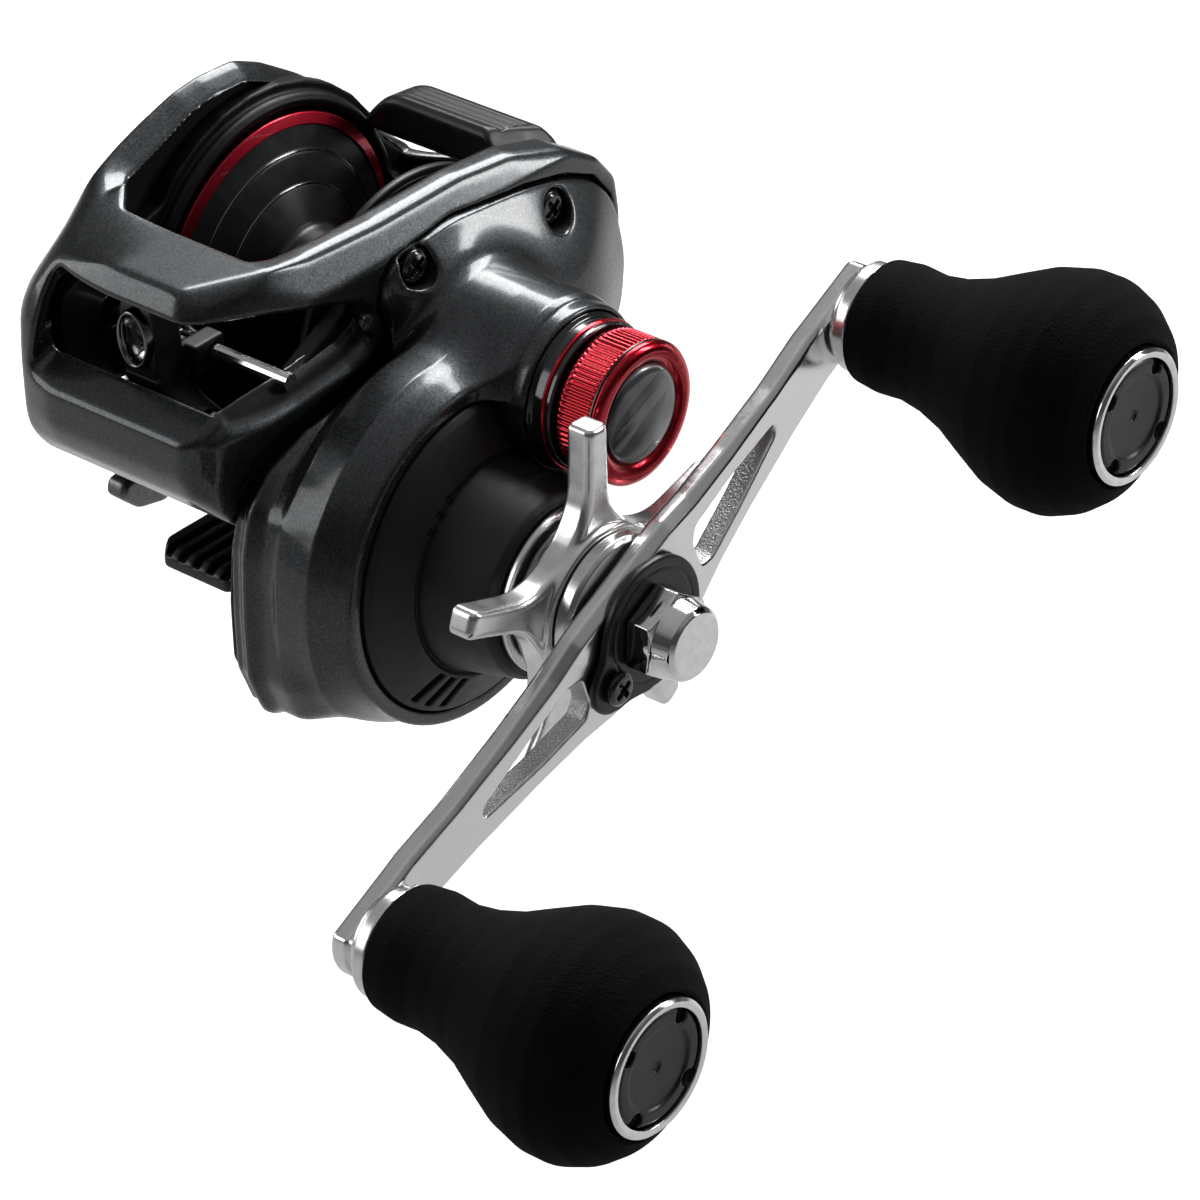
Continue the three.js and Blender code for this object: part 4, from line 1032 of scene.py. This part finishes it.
ARM_X = (53.0, 56.0)
ARM_DROP = 2.6  # how far inboard the arm's ends sit
ARM_SIDE = [(9, 7.6), (14, 6.4), (22, 5.2), (32, 4.2), (42, 4.0)]


def make_handle_arm():
    block = Block((50, -54.4, -8.6), (56.8, 54.4, 8.6), FINE)
    end = arc(5.6, -46, 46, 14, 48, 0)
    right = [(a, -b) for a, b in ARM_SIDE] + end + [(a, b) for a, b in reversed(ARM_SIDE)]
    left = [(-a, -b) for a, b in right]
    outline = block.yz(right + left, 0.3)
    drop = ARM_DROP * np.clip((np.abs(block.y) - 9) / 31, 0, 1)
    low, high = ARM_X[0] - drop, ARM_X[1] - drop
    # The outer edges carry a bevel that widens towards the hub.
    bevel_width = 0.7 + 0.5 * ramp(-np.abs(block.y), -34, -10)
    faces = np.maximum(low - block.x, block.x - high)
    bevel = (outline + (block.x - high) + bevel_width) * 0.707
    under = (outline + (low - block.x) + 0.4) * 0.707
    solid = smooth_max(smooth_max(outline, faces, 0.12), np.maximum(bevel, under), 0.15)
    walls = np.full(block.shape, 10.0, np.float32)
    for side in (-1, 1):
        slot = [(10.8, -2.6), (13, -3.4), (20, -2.4), (29, -0.6), (29.7, 0.2), (29.6, 0.9), (20, 2.4),
                (12.6, 2.9), (11.2, 1.4)]
        hole = block.yz([(side * a, side * b) for a, b in slot], 0.5)
        solid = smooth_max(solid, -hole, 0.35)
        walls = np.minimum(walls, np.abs(hole) - 0.2)
        seat = np.maximum(block.radius(side * 48, 0) - 3.2, high - 0.5 - block.x)
        solid = np.maximum(solid, 2.7 - block.radius(side * 48, 0))
        solid = np.maximum(solid, -seat)
    solid = np.maximum(solid, 3.3 - block.radius())
    grainy = ramp(-walls, -0.15, 0.1) * ramp(high - block.x, 0.25, 0.45)
    arm = block.mesh("handle_arm_plate", solid, TILT, DRIVE, {"blasted": grainy})
    finish_piece(arm, ARM_METAL, "handle", "handle_arm")


def turned_to_arm(along, across):
    """A place on the handle, given along and across its arm, seen from the spool axis."""
    return (DRIVE[0] + along * math.cos(TILT) - across * math.sin(TILT),
            DRIVE[1] + along * math.sin(TILT) + across * math.cos(TILT))


def make_retainer_and_nut():
    block = Block((55.9, -12.8, -9.4), (57.8, 9.6, 9.4), FINE)
    disc = block.radius(0.4, 0) - 8.4
    tab = block.radius(-8.2, -1.2) - 3.5
    bridge = block.yz([(-9, -4.6), (-4, -7), (-4, 6), (-9, 2.2)])
    outline = smooth_min(smooth_min(disc, bridge, 1.0), tab, 1.0)
    solid = smooth_max(outline, between(block.x, 56.3, 57.3), 0.3)
    solid = np.maximum(solid, 3.3 - block.radius())
    solid = np.maximum(solid, 1.3 - block.radius(-8.2, -1.2))
    step = np.maximum(np.abs(block.radius(0.4, 0) - 7.0) - 0.12, 57.1 - block.x)
    solid = np.maximum(solid, -step)
    finish_piece(block.mesh("retainer_plate", solid, TILT, DRIVE), SATIN, "handle", "nut_retainer")

    block = Block((57.2, -6.6, -6.6), (64.4, 6.6, 6.6), FINE * 0.8)
    flats = None
    for k in range(6):
        t = math.radians(30 + 60 * k)
        flat = block.y * math.cos(t) + block.z * math.sin(t) - 5.02
        flats = flat if flats is None else np.maximum(flats, flat)
    away = block.radius()
    hexagon = np.maximum(flats, between(block.x, 57.6, 61.0))
    hexagon = smooth_max(hexagon, (away + (block.x - 61.0) * 1.7 - 5.35) * 0.5, 0.15)
    cap = block.turned([(0, 60), (5.0, 60), (4.9, 61.4), (4.55, 63.3), (4.0, 63.85), (0, 63.96)])
    solid = smooth_min(hexagon, cap, 0.3)
    solid = np.maximum(solid, -block.disc(3.2, (50, 61.7)))
    nut = block.mesh("nut_hexagon", solid, TILT, DRIVE)
    finish_piece(nut, CHROME, "handle", "handle_nut")
    make_screw("retainer_screw_head", turned_to_arm(-8.2, -1.2), (56.4, 57.6, 58.7), 2.1, "handle",
               "retainer_screw", GLOSS)


def make_screw(name, place, heights, radius, body, node, material):
    """A screw with a domed head and a cross-shaped recess; heights are tip, seat and top."""
    tip, seat, top = heights
    y, z = place
    block = Block((tip - 0.3, y - radius - 0.5, z - radius - 0.5),
                  (top + 0.4, y + radius + 0.5, z + radius + 0.5), FINE * 0.6)
    shank, dome = radius * 0.5, [(radius, top - 0.45), (radius * 0.8, top - 0.1), (radius * 0.4, top)]
    solid = block.turned([(0, tip), (shank, tip), (shank, seat), (radius, seat), *dome, (0, top)], y, z)
    u = (block.y - y) * 0.83 + (block.z - z) * 0.56
    v = (block.z - z) * 0.83 - (block.y - y) * 0.56
    long, narrow = radius * 0.62, radius * 0.17
    cross = np.minimum(np.maximum(np.abs(u) - long, np.abs(v) - narrow),
                       np.maximum(np.abs(v) - long, np.abs(u) - narrow))
    solid = smooth_max(solid, -np.maximum(cross, top - 0.75 - block.x), 0.1)
    finish_piece(block.mesh(name, solid), material, body, node)


# ---------------------------------------------------------------- knobs

GRIP = [
    (3.2, 56.9), (7.6, 56.9, 0.6), (8.0, 60), (7.75, 63.5), (8.3, 67), (9.6, 71), (11.6, 75), (13.5, 79),
    (14.5, 83), (14.5, 86), (13.3, 89), (11.4, 91.4), (8.9, 93.0, 0.6), (8.45, 92.4), (8.4, 91.6, 0.2),
    (4.2, 91.6), (4.2, 86), (3.2, 86),
]


def make_knob(label, body, place):
    phase = 0.7 if label == "upper" else 2.3

    def squeeze(angle, radius, x):
        # Foam is cut soft: its outline wavers by a few hundredths of a millimetre.
        if radius < 6:
            return radius
        wave = math.sin(3 * angle + 0.4 * x + phase) + 0.6 * math.sin(7 * angle - 0.9 * x)
        return radius * (1 + 0.0022 * wave)

    grip = lathe("grip_foam_" + label, rounded(GRIP, 3.2, 6), place, 144, squeeze)
    finish_piece(grip, FOAM, body, "grip_" + label)

    block = Block((53.4, place[0] - 7.6, place[1] - 7.6), (57.0, place[0] + 7.6, place[1] + 7.6), FINE)
    solid = block.turned([(2.8, 53.8), (6.0, 53.8), (6.1, 54.5), (6.7, 54.7), (6.9, 55), (6.9, 56.6),
                          (2.8, 56.6)], *place)
    for k in range(2):
        t = math.radians(60 + 180 * k)
        notch = block.radius(place[0] + 7.4 * math.cos(t), place[1] + 7.4 * math.sin(t)) - 1.1
        solid = smooth_max(solid, -notch, 0.2)
    finish_piece(block.mesh("collar_" + label, solid), ALUMINIUM, body, "knob_collar_" + label)

    ring = rounded([(7.15, 91.9), (8.3, 91.9), (8.3, 93.5), (7.9, 93.85), (7.15, 93.7)], 0.15)
    finish_piece(lathe("cap_edge_" + label, ring, place, 128), CHROME, body, "cap_ring_" + label)
    block = Block((91.6, place[0] - 7.5, place[1] - 7.5), (94.0, place[0] + 7.5, place[1] + 7.5), FINE)
    solid = block.turned([(0, 91.9), (7.0, 91.9), (7.0, 93.2), (6.5, 93.5), (5.2, 93.5), (4.9, 93.15),
                          (0, 93.05)], *place)
    for k in range(4):
        t = math.radians(50 + 90 * k)
        notch = block.radius(place[0] + 6.3 * math.cos(t), place[1] + 6.3 * math.sin(t)) - 1.0
        solid = smooth_max(solid, -np.maximum(notch, 92.5 - block.x), 0.2)
    dot = np.maximum(block.radius(*place) - 0.7, 92.8 - block.x)
    solid = smooth_max(solid, -dot, 0.1)
    finish_piece(block.mesh("cap_face_" + label, solid), SATIN, body, "knob_cap_" + label)


# ---------------------------------------------------------------- small parts inside

CAD_FINISH = [
    (STEEL, ["spool_shaft", "brake_rotor", "palm_side_spool_bearing", "gear_side_spool_bearing",
             "pinion_bearing", "drive_shaft_bearing", "one_way_clutch", "one_way_sleeve",
             "pressure_plate", "drive_shaft", "knob_post_upper", "knob_post_lower",
             "knob_bearing_upper", "knob_bearing_lower", "foot_screw_front", "foot_screw_rear"]),
    (BRASS, ["drive_gear", "pinion_gear"]),
    (SATIN, ["level_wind_gear", "worm_gear", "clutch_plate", "clutch_yoke"]),
    (CHROME, ["guide_rod"]),
    (CARBON, ["drag_washer"]),
]


def finish_cad_nodes():
    for material, nodes in CAD_FINISH:
        for node in nodes:
            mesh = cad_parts[node].data
            mesh.materials.clear()
            mesh.materials.append(material)


# ---------------------------------------------------------------- studio


def make_floor():
    s = Shader("studio_floor", (0.93, 0.93, 0.93), 0.0, 0.9)
    # The camera sees a pale floor; the object sees a dimmer one, as in a studio with a cut-out.
    seen = s.node("ShaderNodeLightPath").outputs["Is Camera Ray"]
    s.set("Base Color", s.blend(seen, (0.42, 0.42, 0.42), (0.95, 0.95, 0.95)))
    size, drop = 4.0, -0.140
    mesh = bpy.data.meshes.new("floor")
    corners = [(-size, -size, drop), (size, -size, drop), (size, size, drop), (-size, size, drop)]
    mesh.from_pydata(corners, [], [(0, 1, 2, 3)])
    mesh.materials.append(s.material)
    floor = bpy.data.objects.new("floor", mesh)
    bpy.context.scene.collection.objects.link(floor)


def aim(made, place, target):
    made.location = place
    direction = Vector(target) - Vector(place)
    made.rotation_euler = direction.to_track_quat("-Z", "Y").to_euler()


def softbox(name, place, target, size, power, color=(1, 1, 1)):
    light = bpy.data.lights.new(name, "AREA")
    light.shape = "RECTANGLE"
    light.size, light.size_y = size
    light.energy = power
    light.color = color
    made = bpy.data.objects.new(name, light)
    bpy.context.scene.collection.objects.link(made)
    aim(made, place, target)
    return made


def make_world():
    world = bpy.data.worlds.new("studio")
    bpy.context.scene.world = world
    world.use_nodes = True
    tree = world.node_tree
    background = tree.nodes["Background"]
    place = tree.nodes.new("ShaderNodeTexCoord")
    parts = tree.nodes.new("ShaderNodeSeparateXYZ")
    tree.links.new(place.outputs["Generated"], parts.inputs[0])
    ramp_node = tree.nodes.new("ShaderNodeValToRGB")
    shift = tree.nodes.new("ShaderNodeMapRange")
    shift.inputs["From Min"].default_value = -1
    tree.links.new(parts.outputs[2], shift.inputs["Value"])
    tree.links.new(shift.outputs[0], ramp_node.inputs[0])
    stops = ramp_node.color_ramp
    stops.elements[0].position, stops.elements[0].color = 0.0, (0.16, 0.16, 0.16, 1)
    stops.elements[1].position, stops.elements[1].color = 1.0, (0.35, 0.35, 0.36, 1)
    for position, level in ((0.48, 0.16), (0.56, 0.05), (0.72, 0.06), (0.82, 0.22)):
        stop = stops.elements.new(position)
        stop.color = (level, level, level, 1)
    tree.links.new(ramp_node.outputs[0], background.inputs["Color"])
    background.inputs["Strength"].default_value = 1.0


def make_camera():
    camera = bpy.data.cameras.new("camera")
    camera.lens, camera.sensor_width = 171.22, 36.0
    camera.clip_start, camera.clip_end = 0.05, 20.0
    made = bpy.data.objects.new("camera", camera)
    bpy.context.scene.collection.objects.link(made)
    right = Vector((0.76607, 0.64214, -0.02811))
    up = Vector((-0.32558, 0.42538, 0.84442))
    back = right.cross(up)
    turn = Matrix((right, up, back)).transposed().to_4x4()
    made.matrix_world = Matrix.Translation((0.41369, -0.43275, 0.35973)) @ turn
    bpy.context.scene.camera = made


def make_studio():
    scene = bpy.context.scene
    scene.view_settings.view_transform = "Standard"
    make_world()
    make_floor()
    make_camera()
    target = (0.03, 0.0, 0.03)
    softbox("overhead", (-0.18, 0.60, 0.72), target, (0.75, 0.45), 13.0)
    softbox("front_left", (-0.75, -0.55, 0.35), target, (1.0, 0.6), 4.6)
    softbox("right_side", (0.56, 0.60, 0.30), target, (0.12, 0.35), 2.2)


make_castings()
make_walls()
make_side_plate()
make_gear_cover()
make_tension_knob()
make_spool()
make_brake()
make_line_guide()
make_worm()
make_thumb_bar()
make_foot()
make_star()
make_handle_arm()
make_retainer_and_nut()
make_knob("upper", "knob_upper", UPPER)
make_knob("lower", "knob_lower", LOWER)
for end, place in SCREWS.items():
    make_screw("side_screw_head_" + end, place, (14.2, 16.2, 17.4), 2.1, "reel_body",
               "side_screw_" + end, GLOSS)
finish_cad_nodes()
make_studio()
